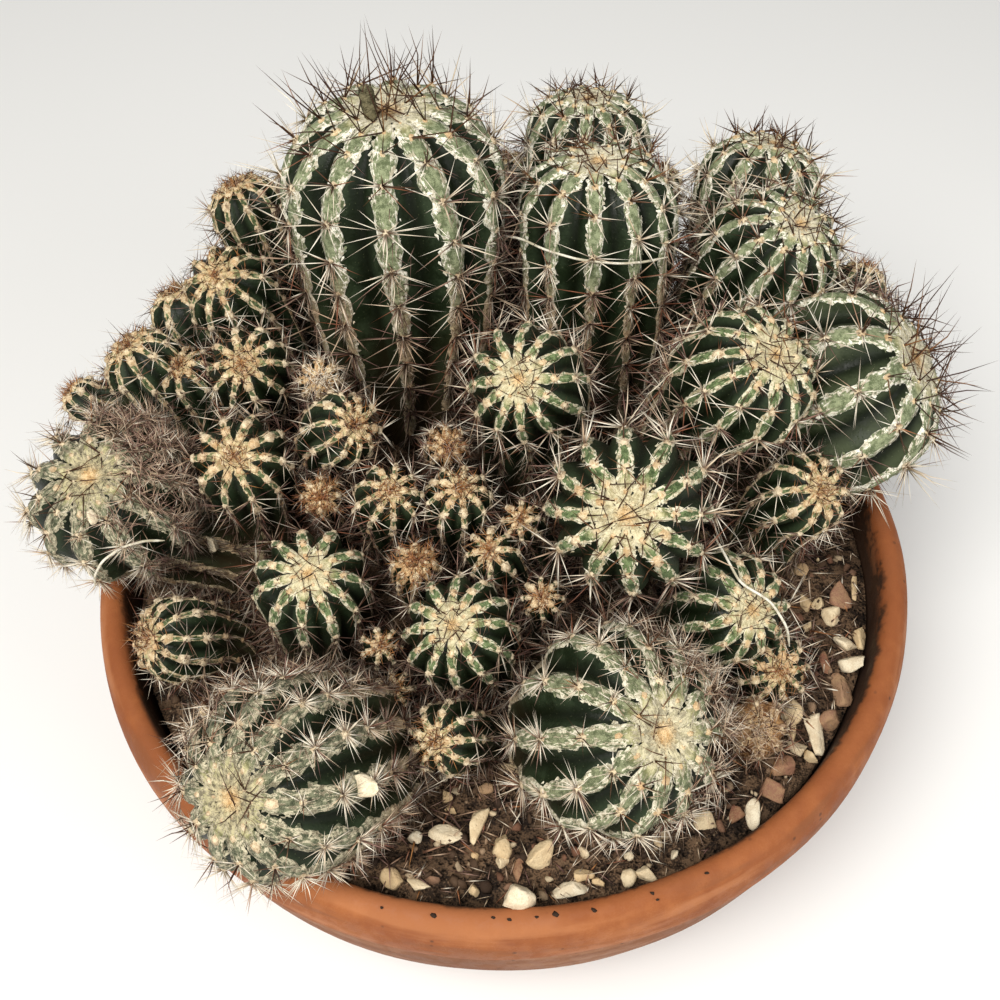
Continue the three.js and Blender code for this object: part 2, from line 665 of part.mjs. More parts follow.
const clump = new THREE.Group();
clump.add(meshFrom(pot(), 'pot', LOOKS.terracotta));
clump.add(meshFrom(soil(), 'soil', LOOKS.soil));
const { bodies, felts } = growClump();
HEADS.forEach((head, i) => {
  clump.add(meshFrom(bodies[i], head.name, head.dry ? LOOKS.dry : LOOKS.skin));
  if (felts[i]) clump.add(meshFrom(felts[i], head.name.replace('head', 'felt'), LOOKS.felt));
});

export default clump;
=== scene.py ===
# A clump of haku-jo echinopsis in a low terracotta bowl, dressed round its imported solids.
import math
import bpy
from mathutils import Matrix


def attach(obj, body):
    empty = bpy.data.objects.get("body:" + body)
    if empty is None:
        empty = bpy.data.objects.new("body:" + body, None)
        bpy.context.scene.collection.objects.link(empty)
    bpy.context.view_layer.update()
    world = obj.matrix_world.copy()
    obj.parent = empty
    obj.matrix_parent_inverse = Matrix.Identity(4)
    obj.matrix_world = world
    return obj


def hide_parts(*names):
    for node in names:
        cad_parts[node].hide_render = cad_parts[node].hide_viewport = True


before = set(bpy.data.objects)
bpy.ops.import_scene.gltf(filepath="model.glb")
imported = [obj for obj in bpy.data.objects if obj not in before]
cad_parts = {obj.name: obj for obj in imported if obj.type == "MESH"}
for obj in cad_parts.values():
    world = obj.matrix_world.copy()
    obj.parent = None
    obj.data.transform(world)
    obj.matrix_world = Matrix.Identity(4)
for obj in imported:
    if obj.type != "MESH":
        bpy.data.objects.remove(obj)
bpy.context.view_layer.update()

from types import SimpleNamespace

import bpy
import numpy as np
from mathutils import Matrix, Vector

# Lengths in this script are millimetres, and a mesh is made in metres
MM = 0.001
TAU = 2 * math.pi

# The bowl and its soil
POT_HEIGHT = 72
POT_SIDES = 176
SOIL_TOP = 64
SOIL_RADIUS = 90.4
ROOT_END = 58
# Lumps of the soil: how wide, the seed of their noise, and how high
SOIL_LUMPS = ((9, 21, 0.7), (3.2, 22, 0.5), (1.5, 23, 0.28))

# Seeds of the random draws: a head's is this and its number in the list
HEAD_SEED = 4100
STONE_SEED = 77

# Shape of a head, as shares of its radius
RIB_DEPTH = 0.19
CROWN_SINK = 0.05
CROWN_FLAT = 0.36
NECK_SHARE = 0.72
BARREL_NECK_SHARE = 0.6
DOME_POWER = 2.6
FLANK_TAPER = 0.08
FLANK_DRAWN_IN = 0.12

# Radii that part the large heads, the small ones and the buds
LARGE_RADIUS = 15
SMALL_RADIUS = 12
BUD_RADIUS = 6.1


def head(name, crown, lean, bearing, radius, length, ribs, root, **more):
    """One head: the middle of its crown, its lean from upright and that lean's bearing, and its neck's end"""
    usual = dict(felt=None, manner="calm", neck=None, cover=None, sweep=0.3, flank=False, bristle=None,
                 skin="dark", dry=False)
    return SimpleNamespace(name=name, crown=crown, lean=lean, bearing=bearing, radius=radius,
                           length=length, ribs=ribs, root=root, **{**usual, **more})


# Every head and bud. Some have more: felt, the look of a large head's strips; manner, how the spines grow;
# neck, its girth as a share of the radius; cover, the share of a rib under felt; sweep, how far the neck
# follows the lean; flank, for a long straight side; bristle, the tones of the bristles; skin, where it isn't
# the dark one; and dry, for a dead one. A third number in a root is the height at which the neck ends, on
# another head.
HEADS = [
    head("head_tall", (-24, 59, 157), 2, 100, 27, 78, 12, (-24, 56), felt="green", neck=0.65, manner="erect"),
    head("head_upright", (24, 56, 144), 6, 100, 19.5, 60, 11, (23, 52), felt="green", neck=0.78,
         manner="combed", cover=0.39),
    head("head_star", (25, -32, 122), 43, -103, 18, 27, 12, (30, -6), felt="cream"),
    head("head_front_right", (31, -71, 102), 40, -48, 22, 32, 12, (22, -56), felt="dusty", manner="bristly",
         cover=0.44),
    head("head_front_left", (-52, -85, 106), 46, -126, 20, 48, 12, (-28, -52), felt="grey", manner="bristly"),
    head("head_left", (-91, -9, 111), 21, -105, 19.5, 24, 11, (-60, 4), felt="grey", manner="bristly",
         sweep=0.12, cover=0.5),
    head("head_right", (98, 20, 113), 48, -10, 25.5, 36, 10, (66, 22), felt="green", manner="erect",
         cover=0.36, skin="light"),
    head("head_right_upper", (71, 44, 134), 25, -36, 16.5, 38, 12, (52, 40), felt="green", manner="combed",
         cover=0.36),
    head("head_right_inner", (60, 5, 130), 30, -41, 16, 28, 12, (46, 16), felt="cream"),
    head("head_middle", (4, 2, 127), 40, -109, 13.5, 20, 12, (6, 22), neck=0.9),
    head("head_back", (25, 99, 132), 10, 80, 17, 36, 11, (17, 75), neck=0.42, flank=True, manner="combed"),
    head("head_back_right", (70, 78, 132), 18, 50, 16, 34, 11, (48, 60), neck=0.42, flank=True,
         manner="combed"),
    head("head_left_star", (-42, -31, 103), 20, -79, 13, 20, 11, (-42, -24)),
    head("head_centre_star", (-11, -45, 103), 25, -109, 12.5, 20, 12, (-7, -34)),
    head("head_right_low", (54, -37, 94), 42, -60, 13, 20, 11, (47, -24)),
    head("head_right_ball", (72, -11, 103), 36, -57, 10, 14, 10, (62, -4)),
    head("head_left_low", (-81, -33, 82), 50, -150, 10, 18, 11, (-66, -24), flank=True),
    head("head_left_ball", (-59, -6, 113), 30, -90, 11, 16, 10, (-60, 4, 66)),
    head("head_left_round", (-60, 22, 114), 33, -92, 10, 14, 10, (-66, 36)),
    head("head_left_upper", (-68, 46, 120), 25, -120, 11.5, 16, 10, (-56, 50)),
    head("head_left_top", (-64, 68, 130), 20, 150, 9.5, 14, 10, (-54, 62)),
    head("head_outer_left", (-91, 36, 107), 25, 170, 10, 14, 10, (-74, 27)),
    head("head_outer_inner", (-78, 32, 104), 15, -150, 8, 11, 8, (-70, 20)),
    head("head_outer_rib", (-81, 52, 110), 20, 150, 9, 12, 7, (-68, 45)),
    head("bud_outer", (-106, 30, 98), 50, 165, 5.5, 8, 8, (-88, 34, 90)),
    head("bud_woolly", (-41, 14, 116), 42, -78, 5, 7, 8, (-40, 26), bristle="pale"),
    head("head_inner_ball", (-32, -1, 117), 44, -39, 8.5, 12, 10, (-34, 14)),
    head("head_inner_small", (-24, -15, 111), 25, -60, 7.5, 11, 9, (-22, -4)),
    head("bud_orange_left", (-41, -9, 102), 39, -93, 5, 7, 8, (-40, 2), bristle="red"),
    head("bud_shaded", (-12, 0, 108), 40, -79, 4.8, 7, 8, (-12, 14), bristle="dark"),
    head("head_inner_round", (-9, -13, 109), 15, -60, 7.5, 11, 9, (-7, -2)),
    head("bud_centre", (-3, -26, 103), 25, -110, 6, 9, 8, (4, -18)),
    head("bud_red", (-19, -27, 101), 18, -74, 5.5, 9, 8, (-18, -18), bristle="red"),
    head("bud_cream", (8, -35, 98), 30, -104, 4.6, 7, 8, (9, -26)),
    head("bud_middle", (4, -20, 106), 35, -105, 4.6, 7, 8, (14, -12)),
    head("head_front_small", (-15, -65, 90), 40, -124, 8, 12, 9, (-4, -50)),
    head("bud_front", (-24, -50, 86), 30, -82, 4.2, 6, 7, (-22, -38)),
    head("bud_front_upper", (-27, -41, 89), 28, -78, 4.4, 6, 7, (-29, -34)),
    head("head_right_lowest", (61, -44, 80), 40, -78, 8.5, 11, 9, (62, -36)),
    head("head_dry", (55, -56, 76), 32, -100, 7.2, 8, 8, (54, -52), dry=True, bristle="tan"),
    head("head_outer_right", (91, 50, 115), 40, 60, 6.5, 10, 8, (84, 34, 104)),
    head("head_rear_right", (84, 62, 108), 40, 45, 8, 12, 8, (64, 48), neck=0.4),
    head("head_rear_between", (44, 96, 112), 25, 80, 7, 11, 8, (33, 70), neck=0.4),
    head("head_rear_middle", (3, 96, 116), 18, 90, 9.5, 14, 8, (-1, 76), neck=0.5),
    head("head_rear_left", (-54, 86, 116), 25, 115, 10, 15, 8, (-44, 69), neck=0.5),
    head("head_rear_low", (-24, 93, 96), 26, 95, 8.5, 12, 8, (-23, 77), neck=0.45),
    head("head_rear_low_left", (-73, 64, 95), 30, 138, 8.5, 11, 8, (-61, 53), neck=0.45),
]

# Share of a rib's width that its felt covers, and how much wider it grows towards the crown, by its look
COVERS = {
    "cream": (0.36, 0.9), "small": (0.25, 0.9), "green": (0.46, 0.8), "dusty": (0.46, 0.8),
    "grey": (0.57, 0.4), "bud": (0.74, 0.3), "dry": (0.5, 0.3),
}

# Camera, as fitted to the rim of the bowl in a square photograph of PHOTO_SIDE pixels
PHOTO_SIDE = 1000
FOCAL_PIXELS = 1300
CAMERA_PLACE = (-0.4, -195, 329)
CAMERA_PITCH = 51
CAMERA_ROLL = -1.2
SENSOR_WIDTH = 36


def unit(v):
    """Each vector at a length of 1"""
    return v / np.maximum(np.linalg.norm(v, axis=-1, keepdims=True), 1e-9)


def smooth(low, high, x):
    """0 at low and 1 at high, eased between them"""
    t = np.clip((x - low) / (high - low), 0, 1)
    return t * t * (3 - 2 * t)


def ripple(points, scale, seed):
    """Soft noise between about -1 and 1 at each point, with features a few scales wide"""
    draw = np.random.default_rng(seed)
    waves = draw.normal(size=(7, 3)) / scale
    return np.sin(points @ waves.T + draw.uniform(0, TAU, 7)).mean(axis=1) * 1.8


def placed(name, data):
    """An object of the scene with this mesh, lamp or camera"""
    made = bpy.data.objects.new(name, data)
    bpy.context.scene.collection.objects.link(made)
    return made


class Shape:
    """Points, faces, places on the surface map and marks for the shaders, gathered into one mesh"""

    def __init__(self):
        self.points, self.faces, self.places, self.kinds = [], [], [], []
        self.marks = {}
        self.count = 0

    def add(self, points, faces, places, kind=0, **marks):
        """Faces are whole arrays of point numbers, and places hold the map's u and v for each corner"""
        points = points.reshape(-1, 3)
        self.points.append(points)
        for corners, spots in zip(faces, places):
            self.faces.append(corners + self.count)
            self.places.append(spots)
            self.kinds.append(np.full(len(corners), kind))
        for name, values in marks.items():
            self.marks.setdefault(name, []).append(np.broadcast_to(values, len(points)))
        self.count += len(points)

    def made(self, name, materials, slot, replaces=(), mapped=True):
        """The finished object, riding on the part's one body"""
        mesh = bpy.data.meshes.new(name)
        corners = np.concatenate([f.ravel() for f in self.faces])
        sizes = np.concatenate([np.full(len(f), f.shape[1]) for f in self.faces])
        mesh.vertices.add(self.count)
        mesh.vertices.foreach_set("co", (np.concatenate(self.points) * MM).astype(np.float32).ravel())
        mesh.loops.add(len(corners))
        mesh.loops.foreach_set("vertex_index", corners.astype(np.int32))
        mesh.polygons.add(len(sizes))
        mesh.polygons.foreach_set("loop_start", (np.cumsum(sizes) - sizes).astype(np.int32))
        mesh.polygons.foreach_set("material_index", np.concatenate(self.kinds).astype(np.int32))
        mesh.update(calc_edges=True)
        mesh.shade_smooth()
        if mapped:
            layer = mesh.uv_layers.new(name="OFBake")
            spots = np.concatenate([p.reshape(-1, 2) for p in self.places])
            layer.uv.foreach_set("vector", spots.astype(np.float32).ravel())
        for mark, values in self.marks.items():
            attribute = mesh.attributes.new(mark, "FLOAT", "POINT")
            attribute.data.foreach_set("value", np.concatenate(values).astype(np.float32))
        for material in materials:
            mesh.materials.append(material)
        piece = placed(name, mesh)
        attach(piece, "root")
        if replaces:
            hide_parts(*replaces)
        return piece


def grid(rows, columns, closed=False):
    """Quads over rows of points, with each corner's place from 0 to 1 across and down"""
    last = columns if closed else columns - 1
    i, j = (a.ravel() for a in np.meshgrid(np.arange(rows - 1), np.arange(last), indexing="ij"))
    after = (j + 1) % columns
    here, below = i * columns, (i + 1) * columns
    quads = np.stack([here + j, below + j, below + after, here + after], 1)
    across = np.stack([j, j, j + 1, j + 1], 1) / last
    down = np.stack([i, i + 1, i + 1, i], 1) / (rows - 1)
    return quads, np.stack([across, down], -1)


def fan(centre, ring, outward):
    """Triangles from one point to a closed ring of points"""
    after = np.roll(ring, -1)
    order = (ring, after) if outward else (after, ring)
    return np.stack([np.full(len(ring), centre), *order], 1)


def neck_share(plan):
    """Girth of a head's neck as a share of its radius"""
    return plan.neck or (BARREL_NECK_SHARE if plan.felt else NECK_SHARE)


class Growth:
    """The surface of one head: a ribbed dome, a flank and a neck that bends down to its root"""

    def __init__(self, plan, number):
        self.plan = plan
        self.draw = np.random.default_rng(HEAD_SEED + number)
        self.radius = radius = plan.radius
        self.ribs = plan.ribs
        self.step = TAU / plan.ribs
        self.felt, self.dry, self.manner = plan.felt, plan.dry, plan.manner
        self.bud = radius < BUD_RADIUS
        fuzzy = self.bud and plan.bristle
        calm = "dry" if self.dry else "bud" if fuzzy else "small" if radius < SMALL_RADIUS else "cream"
        self.look = self.felt or (calm if self.manner == "calm" else "green")
        self.cover, self.widening = COVERS[self.look]
        self.cover = plan.cover or self.cover
        lean, bearing = math.radians(plan.lean), math.radians(plan.bearing)
        level = math.sin(lean)
        self.axis = np.array([level * math.cos(bearing), level * math.sin(bearing), math.cos(lean)])
        self.side = unit(np.array([1, 0, 0]) - self.axis * self.axis[0])
        crown = np.array(plan.crown)
        root = np.array([*plan.root, ROOT_END][:3])

        turn = np.linspace(0, math.pi / 2, 40) ** 1.3 / (math.pi / 2) ** 0.3
        deep = radius * (1 - np.cos(turn) ** (2 / DOME_POWER))
        wide = radius * np.sin(turn) ** (2 / DOME_POWER)
        straight = plan.length if plan.felt or plan.flank else 0.86 * radius
        kept = deep < min(straight, radius) - 0.01
        deep, wide = deep[kept], wide[kept]
        if straight > radius:
            share = np.linspace(0, 1, 12)
            deep = np.append(deep, radius + (straight - radius) * share)
            wide = np.append(wide, radius * (1 - FLANK_TAPER * share - FLANK_DRAWN_IN * share ** 2.5))
        centres = crown - self.axis * deep[:, None]
        dip = CROWN_SINK * radius * (1 - smooth(0, CROWN_FLAT * radius, wide))
        centres = centres - self.axis * dip[:, None]

        end = crown - self.axis * straight
        reach = np.linalg.norm(root - end)
        below = end - self.axis * reach * plan.sweep
        above = root + np.array([0, 0, reach * 0.28])
        t = np.linspace(0, 1, 24)[1:, None]
        weights = (1 - t) ** 3, 3 * t * (1 - t) ** 2, 3 * t ** 2 * (1 - t), t ** 3
        bend = sum(weight * handle for weight, handle in zip(weights, (end, below, above, root)))
        easing = t[:, 0] * (0.45 + 0.55 * t[:, 0])
        neck = wide[-1] + (radius * neck_share(plan) - wide[-1]) * easing
        centres, wide = np.vstack([centres, bend]), np.append(wide, neck)
        upward = unit(np.vstack([end, bend[:-1]]) - bend)
        ahead = np.vstack([np.tile(self.axis, (len(deep), 1)), upward])
        level = np.array([self.side[0], self.side[1], 0])
        bent = np.append(np.zeros(len(deep)), t[:, 0])[:, None]
        side = self.side * (1 - bent) + unit(level) * bent
        side = unit(side - ahead * (side * ahead).sum(1, keepdims=True))
        hops = np.hypot(np.linalg.norm(np.diff(centres, axis=0), axis=1), np.diff(wide))
        self.s = np.append(0, np.cumsum(hops))
        self.total = self.s[-1]
        self.neck_from = self.s[len(deep) - 1]
        self.shown_to = self.neck_from + (0.8 if self.felt else 0.6) * (self.total - self.neck_from)
        depth = RIB_DEPTH * (1 - 0.5 * bent[:, 0])
        self.columns = np.hstack([centres, side, np.cross(ahead, side), wide[:, None], depth[:, None]]).T
        self.phase = self.draw.uniform(0, TAU)
        self.crest_power = 1.3 if radius > LARGE_RADIUS else 1.5
        self.spacing = min(10, 1.0 + (0.36 if self.look == "grey" else 0.43) * radius)

    def point(self, s, rib, x):
        """The place s below the crown along rib number rib, x across it from -1 to 1 between furrows"""
        row = [np.interp(s, self.s, column) for column in self.columns]
        centre, side, across = (np.stack(row[i:i + 3], -1) for i in (0, 3, 6))
        wide, depth = row[9], row[10]
        plain = (rib + x / 2) * self.step
        turn = plain + 0.045 * np.sin(s / self.radius * 1.5 + 2 * plain + self.phase)
        folded = np.abs((x + 1) % 2 - 1)
        swell = 1 + 0.018 * np.sin(3 * plain + s / self.radius * 2.2 + self.phase)
        reach = wide * swell * (1 - depth * folded ** self.crest_power)
        return centre + side * (np.cos(turn) * reach)[..., None] + across * (np.sin(turn) * reach)[..., None]

    def past(self, low, high, s):
        """From 0 to 1 between two distances below the crown, both in radii"""
        return smooth(low * self.radius, high * self.radius, s)

    def radius_at(self, s):
        return np.interp(s, self.s, self.columns[9])

    def frame_at(self, s, rib, x):
        """Point, outward normal, the way to the crown, and the way across"""
        small = 0.02 * self.radius
        spot = self.point(s, rib, x)
        down = self.point(s + small, rib, x) - self.point(np.maximum(s - small, 0.01), rib, x)
        over = self.point(s, rib, x + 0.06) - self.point(s, rib, x - 0.06)
        normal = unit(np.cross(down, over))
        upward = -unit(down - normal * (down * normal).sum(-1, keepdims=True))
        return spot, normal, upward, np.cross(normal, upward)

    def areoles(self, rib):
        """Distances below the crown of one rib's wool tufts, close together where the head still grows"""
        s = self.spacing * (0.2 + 0.4 * (rib * 0.618 % 1))
        found = []
        while s < self.total - 0.8 * self.spacing:
            found.append(s)
            grown = min(1, s / (0.9 * self.radius))
            s += self.spacing * (0.35 + 0.65 * grown) * self.draw.uniform(0.92, 1.08)
        return np.array(found)


# Felt strips: points across, from one sunk edge to the other, with a raised margin on both sides
STRIP_ACROSS = np.array([-1, -0.82, -0.45, 0, 0.45, 0.82, 1])
STRIP_RAISED = np.array([-0.35, 0.34, 0.2, 0.14, 0.2, 0.34, -0.35])
ACROSS_COUNT = len(STRIP_ACROSS)
# Share of the surface map's height that strips take up, below that of the tufts of wool
STRIP_MAP = 0.8
# How many loose scales lie on a strip for each of its rows
SCALES_EACH = 1.7
# How uneven a strip's width and its surface are
RAGGED = 0.13
UNEVEN = 0.16


def skin_body(growth):
    """The green body of a head"""
    large = growth.radius > LARGE_RADIUS
    per_rib = 8 if large else 6 if growth.radius > 7 else 4
    rows = (50 if growth.radius > 24 else 38) if large else (12 if growth.bud else 19)
    s = growth.total * np.linspace(0.004, 1, rows) ** 1.12
    column = np.arange(growth.ribs * per_rib)
    rib, x = column // per_rib, (column % per_rib) * 2 / per_rib - 1
    s_all, rib_all = np.broadcast_arrays(s[:, None], rib[None])
    x_all = np.broadcast_to(x, s_all.shape)
    points = growth.point(s_all, rib_all, x_all).reshape(-1, 3)
    quads, places = grid(rows, len(column), closed=True)
    places[..., 1] = 0.02 + 0.96 * places[..., 1]
    caps, cap_places = [], []
    ends = np.array([points[:len(column)].mean(axis=0), points[-len(column):].mean(axis=0)])
    for end, first, edge, tip in ((0, 0, 0.02, 0), (1, (rows - 1) * len(column), 0.98, 1)):
        ring = first + np.arange(len(column))
        caps.append(fan(len(points) + end, ring, outward=end == 0))
        u = column / len(column)
        spots = np.stack([u + 0.5 / len(column), u, u + 1 / len(column)], 1)
        if end:
            spots = spots[:, [0, 2, 1]]
        v = np.tile([tip, edge, edge], (len(column), 1))
        cap_places.append(np.stack([spots, v], -1))
    shape = Shape()
    crest = np.append(np.abs(x_all).ravel(), [1, 1])
    age = np.append(np.clip(s_all / growth.total, 0, 1).ravel(), [0, 1])
    shape.add(np.vstack([points, ends]), [quads, *caps], [places, *cap_places], crest=crest, age=age)
    return shape


def young_felt(growth, s):
    """1 on the buttery felt of the crown, 0 where the strips have opened into green panels"""
    low, high = (0.24, 0.6) if growth.look in ("cream", "small") else (0.2, 0.52)
    return 1 - growth.past(low, high, s)


def strip(growth, shape, rib, areoles):
    """One rib's felt: a chain of lens-shaped panels between ragged pale margins, pinched at each areole"""
    draw, radius = growth.draw, growth.radius
    steps = 7 if radius > LARGE_RADIUS else 4
    stops = np.append(0.008 * radius, areoles[areoles < growth.shown_to])
    s = np.concatenate([np.linspace(a, b, steps, endpoint=False) for a, b in zip(stops[:-1], stops[1:])])
    u = np.tile(np.arange(steps) / steps, len(stops) - 1)
    s, u = np.append(s, stops[-1]), np.append(u, 0)
    half = growth.cover * radius * growth.step / 2 * (0.62 + 0.38 * np.sin(math.pi * u) ** 0.8)
    old = growth.past(1.5, 2.6, s)
    half = half * (1 - 0.45 * old) * (1 + growth.widening * growth.past(0.75, 0.35, s))
    reach = growth.radius_at(s)
    room = reach * math.tan(growth.step / 2) * (1.06 - 0.14 * growth.past(0.25, 0.5, s))
    half = np.maximum(np.minimum(half, room), 0.12)
    ragged = 1 + draw.normal(0, RAGGED, (len(s), ACROSS_COUNT)) * STRIP_ACROSS ** 2
    ragged[:, [1, 5]] = ragged[:, [0, 6]]
    off = STRIP_ACROSS * half[:, None] * ragged
    x = off / reach[:, None] / growth.step * 2
    spot, normal, _, _ = growth.frame_at(np.broadcast_to(s[:, None], x.shape), rib, x)
    size = np.clip(radius / 20, 0.4, 1.1)
    lift = STRIP_RAISED * size * (1 + draw.normal(0, UNEVEN, x.shape)) + 0.05
    points = spot + normal * lift[..., None]
    quads, places = grid(len(s), ACROSS_COUNT)
    band = (rib + 0.06 + places[..., 0] * 0.88) / growth.ribs
    places = np.stack([band, places[..., 1] * STRIP_MAP], -1)
    run = np.repeat(s + 40 * rib, ACROSS_COUNT)
    marks = dict(across=np.tile(STRIP_ACROSS, len(s)), span=off.ravel(), run=run)
    shape.add(points, [quads], [places], 0, **marks, **felt_marks(growth, s, u, ACROSS_COUNT))
    if radius > LARGE_RADIUS:
        scales(growth, shape, rib, s, u, half, size)


def felt_marks(growth, s, u, each):
    """What the felt's material needs to know at each point, by so many points a row: its place and its age"""
    marks = dict(panel=u, age=s / growth.total, old=growth.past(1.5, 2.6, s), young=young_felt(growth, s),
                 heart=1 - growth.past(0.02, 0.2, s))
    return {mark: np.repeat(values, each) for mark, values in marks.items()}


def scales(growth, shape, rib, s, u, half, size):
    """Loose pale scales lying along both margins of a strip, their free ends raised"""
    draw = growth.draw
    count = int(SCALES_EACH * len(s))
    at = draw.integers(0, len(s) - 1, count)
    edge = draw.choice([-1, 1], count)
    here = s[at] + draw.uniform(0, 1, count) * (s[at + 1] - s[at])
    x = edge * draw.uniform(0.5, 1.02, count) * half[at] / growth.radius_at(here) / growth.step * 2
    spot, normal, upward, over = growth.frame_at(here, rib, x)
    outward = over * (edge * draw.uniform(0.1, 1, count))[:, None]
    way = unit(outward - upward * draw.uniform(-0.5, 1.2, count)[:, None])
    long = (draw.uniform(0.5, 1.5, count) * size)[:, None]
    beside = np.cross(normal, way) * long * draw.uniform(0.15, 0.4, (count, 1))
    low = normal * 0.36 * size
    high = normal * (0.4 * size + draw.uniform(0.05, 0.4, (count, 1)) * size)
    foot, tip = spot - way * long * 0.3 + low, spot + way * long * 0.7 + high
    points = np.stack([foot, spot - beside + low, tip, spot + beside + low], 1)
    quads = np.arange(count * 4).reshape(-1, 4)
    middle = ((rib + 0.5 + edge * 0.44) / growth.ribs)[:, None] + np.array([0, 0.001, 0, -0.001])
    v = (here / growth.total * STRIP_MAP)[:, None] + np.array([-0.001, 0, 0.001, 0])
    places = np.stack([middle, np.clip(v, 0, STRIP_MAP)], -1)
    marks = dict(across=np.repeat(edge * 1.0, 4), span=np.repeat(draw.uniform(0, 60, count), 4),
                 run=np.repeat(here, 4))
    shape.add(points, [quads], [places], 0, **marks, **felt_marks(growth, here, u[at], 4))


TUFT_SIDES = 5
# Size of the tufts of wool beside the usual, by the look of their head
TUFT_SIZES = {"bud": 1.2, "small": 1.35, "cream": 1.0}
OTHER_TUFTS = 0.88


def tufts(growth, shape, s, rib):
    """A low mound of wool on each areole"""
    draw = growth.draw
    shown = s < 0.5 * (growth.neck_from + growth.shown_to)
    s, rib = s[shown], rib[shown]
    count = len(s)
    spot, normal, upward, over = growth.frame_at(s, rib, np.zeros(count))
    young = (1 - growth.past(0.35, 1.1, s)) * (0.4 if growth.look == "grey" else 1)
    size = min(1.1, 0.5 + 0.034 * growth.radius) * draw.uniform(0.75, 1.2, count)
    size = size * TUFT_SIZES.get(growth.look, OTHER_TUFTS)
    size = size * (0.5 + 0.5 * growth.past(0.15, 0.5, s))
    size = size * (1 - 0.3 * growth.past(1.6, 2.6, s))
    rings = []
    for share, raised in ((1.0, -0.25), (0.72, 0.42)):
        turn = TAU * (np.arange(TUFT_SIDES) / TUFT_SIDES)[None] + draw.uniform(0, 1, (count, 1))
        reach = size[:, None] * share * draw.uniform(0.75, 1.25, (count, TUFT_SIDES))
        ring = spot[:, None] + upward[:, None] * (np.cos(turn) * reach * 1.3)[..., None]
        ring = ring + over[:, None] * (np.sin(turn) * reach)[..., None]
        high = size[:, None] * raised * draw.uniform(0.7, 1.3, (count, TUFT_SIDES)) + 0.12
        rings.append(ring + normal[:, None] * high[..., None])
    tip = spot + normal * (size * draw.uniform(0.5, 0.8, count))[:, None]
    points = np.concatenate([*rings, tip[:, None]], 1)
    each = 2 * TUFT_SIDES + 1
    first = (np.arange(count) * each)[:, None]
    i = np.arange(TUFT_SIDES)
    after = (i + 1) % TUFT_SIDES
    quads = np.stack([i, i + TUFT_SIDES, after + TUFT_SIDES, after], 1)[:, ::-1]
    caps = np.stack([i + TUFT_SIDES, np.full(TUFT_SIDES, 2 * TUFT_SIDES), after + TUFT_SIDES], 1)[:, ::-1]
    cells = math.ceil(math.sqrt(count * 5))
    cell = np.stack([np.arange(count) % cells, np.arange(count) // cells], 1) + 0.5
    spin = TAU * i / TUFT_SIDES
    circle = np.stack([np.cos(spin), np.sin(spin)], 1)
    disc = np.vstack([circle * 0.46, circle * 0.3, [[0, 0]]])
    spots = (cell[:, None] + disc) / [cells, cells / 5 + 1]
    spots = spots * [1, 1 - STRIP_MAP - 0.02] + [0, STRIP_MAP + 0.02]
    faces = [(first + quads.ravel()).reshape(-1, 4), (first + caps.ravel()).reshape(-1, 3)]
    places = [spots.reshape(-1, 2)[f] for f in faces]
    shade = np.repeat(draw.uniform(0, 1, count), each)
    marks = dict(across=shade, panel=np.repeat(young, each), age=np.repeat(s / growth.total, each),
                 old=np.repeat(growth.past(1.2, 2.6, s), each),
                 young=0.0, heart=0.0, span=0.0, run=0.0)
    shape.add(points, faces, places, 1, **marks)


# How deep the foot of a spine sits in what bears it
NEEDLE_SINK = 0.35


def needles(shape, roots, ways, lengths, girths, tones, draw, fine=False, deep=0.0):
    """Tapered three-sided spines, in two lengths with a slight bend between them where they are fine"""
    count, tones = len(roots), np.clip(tones, 0, 1)
    guide = unit(np.cross(ways, draw.normal(size=(count, 3))))
    other = np.cross(ways, guide)
    spin = TAU / 3 * np.arange(3)
    ring = guide[:, None] * np.cos(spin)[:, None] + other[:, None] * np.sin(spin)[:, None]
    sag = guide * (lengths * draw.normal(0, 0.04, count))[:, None]
    foot = (roots - ways * NEEDLE_SINK)[:, None] + ring * girths[:, None, None]
    tip = (roots + ways * lengths[:, None])[:, None]
    i, after = np.arange(3), (np.arange(3) + 1) % 3
    base = np.array([[0, 2, 1]])
    if fine:
        middle = (roots + ways * lengths[:, None] * 0.5 + sag)[:, None] + ring * girths[:, None, None] * 0.7
        points = np.concatenate([foot, middle, tip], 1)
        along = np.array([0, 0, 0, 0.5, 0.5, 0.5, 1.0])
        sides, top = np.stack([i, after, after + 3, i + 3], 1), np.stack([i + 3, after + 3, np.full(3, 6)], 1)
        parts = [sides, top, base]
        offsets = [np.array([-1, 1, 1, -1]), np.array([-1, 1, 0]), np.array([-1, 1, 0])]
    else:
        points = np.concatenate([foot, tip], 1)
        along = np.array([0, 0, 0, 1.0])
        parts = [np.stack([i, after, np.full(3, 3)], 1), base]
        offsets = [np.array([-1, 1, 0]), np.array([-1, 1, 0])]
    each = points.shape[1]
    first = (np.arange(count) * each)[:, None]
    faces, places = [], []
    for part, offset in zip(parts, offsets):
        faces.append((first + part.ravel()).reshape(-1, part.shape[1]))
        u = np.tile(along[part], (count, 1, 1)).reshape(-1, part.shape[1])
        v = np.repeat(0.05 + 0.9 * tones, len(part))[:, None] + 0.004 * offset
        places.append(np.stack([0.02 + 0.96 * u, v], -1))
    # deep: the share of painted shade that darkens each spine
    marks = dict(tone=np.repeat(tones, each), deep=np.repeat(np.broadcast_to(deep, count), each))
    shape.add(points, faces, places, 0, along=np.tile(along, count), **marks)


# Tones of a spine, from a crown's near-black ones to the old mauve ones low on a head
DARK, ORANGE, RUSSET, BEIGE, TAN, MAUVE = 0.1, 0.21, 0.31, 0.54, 0.7, 0.9
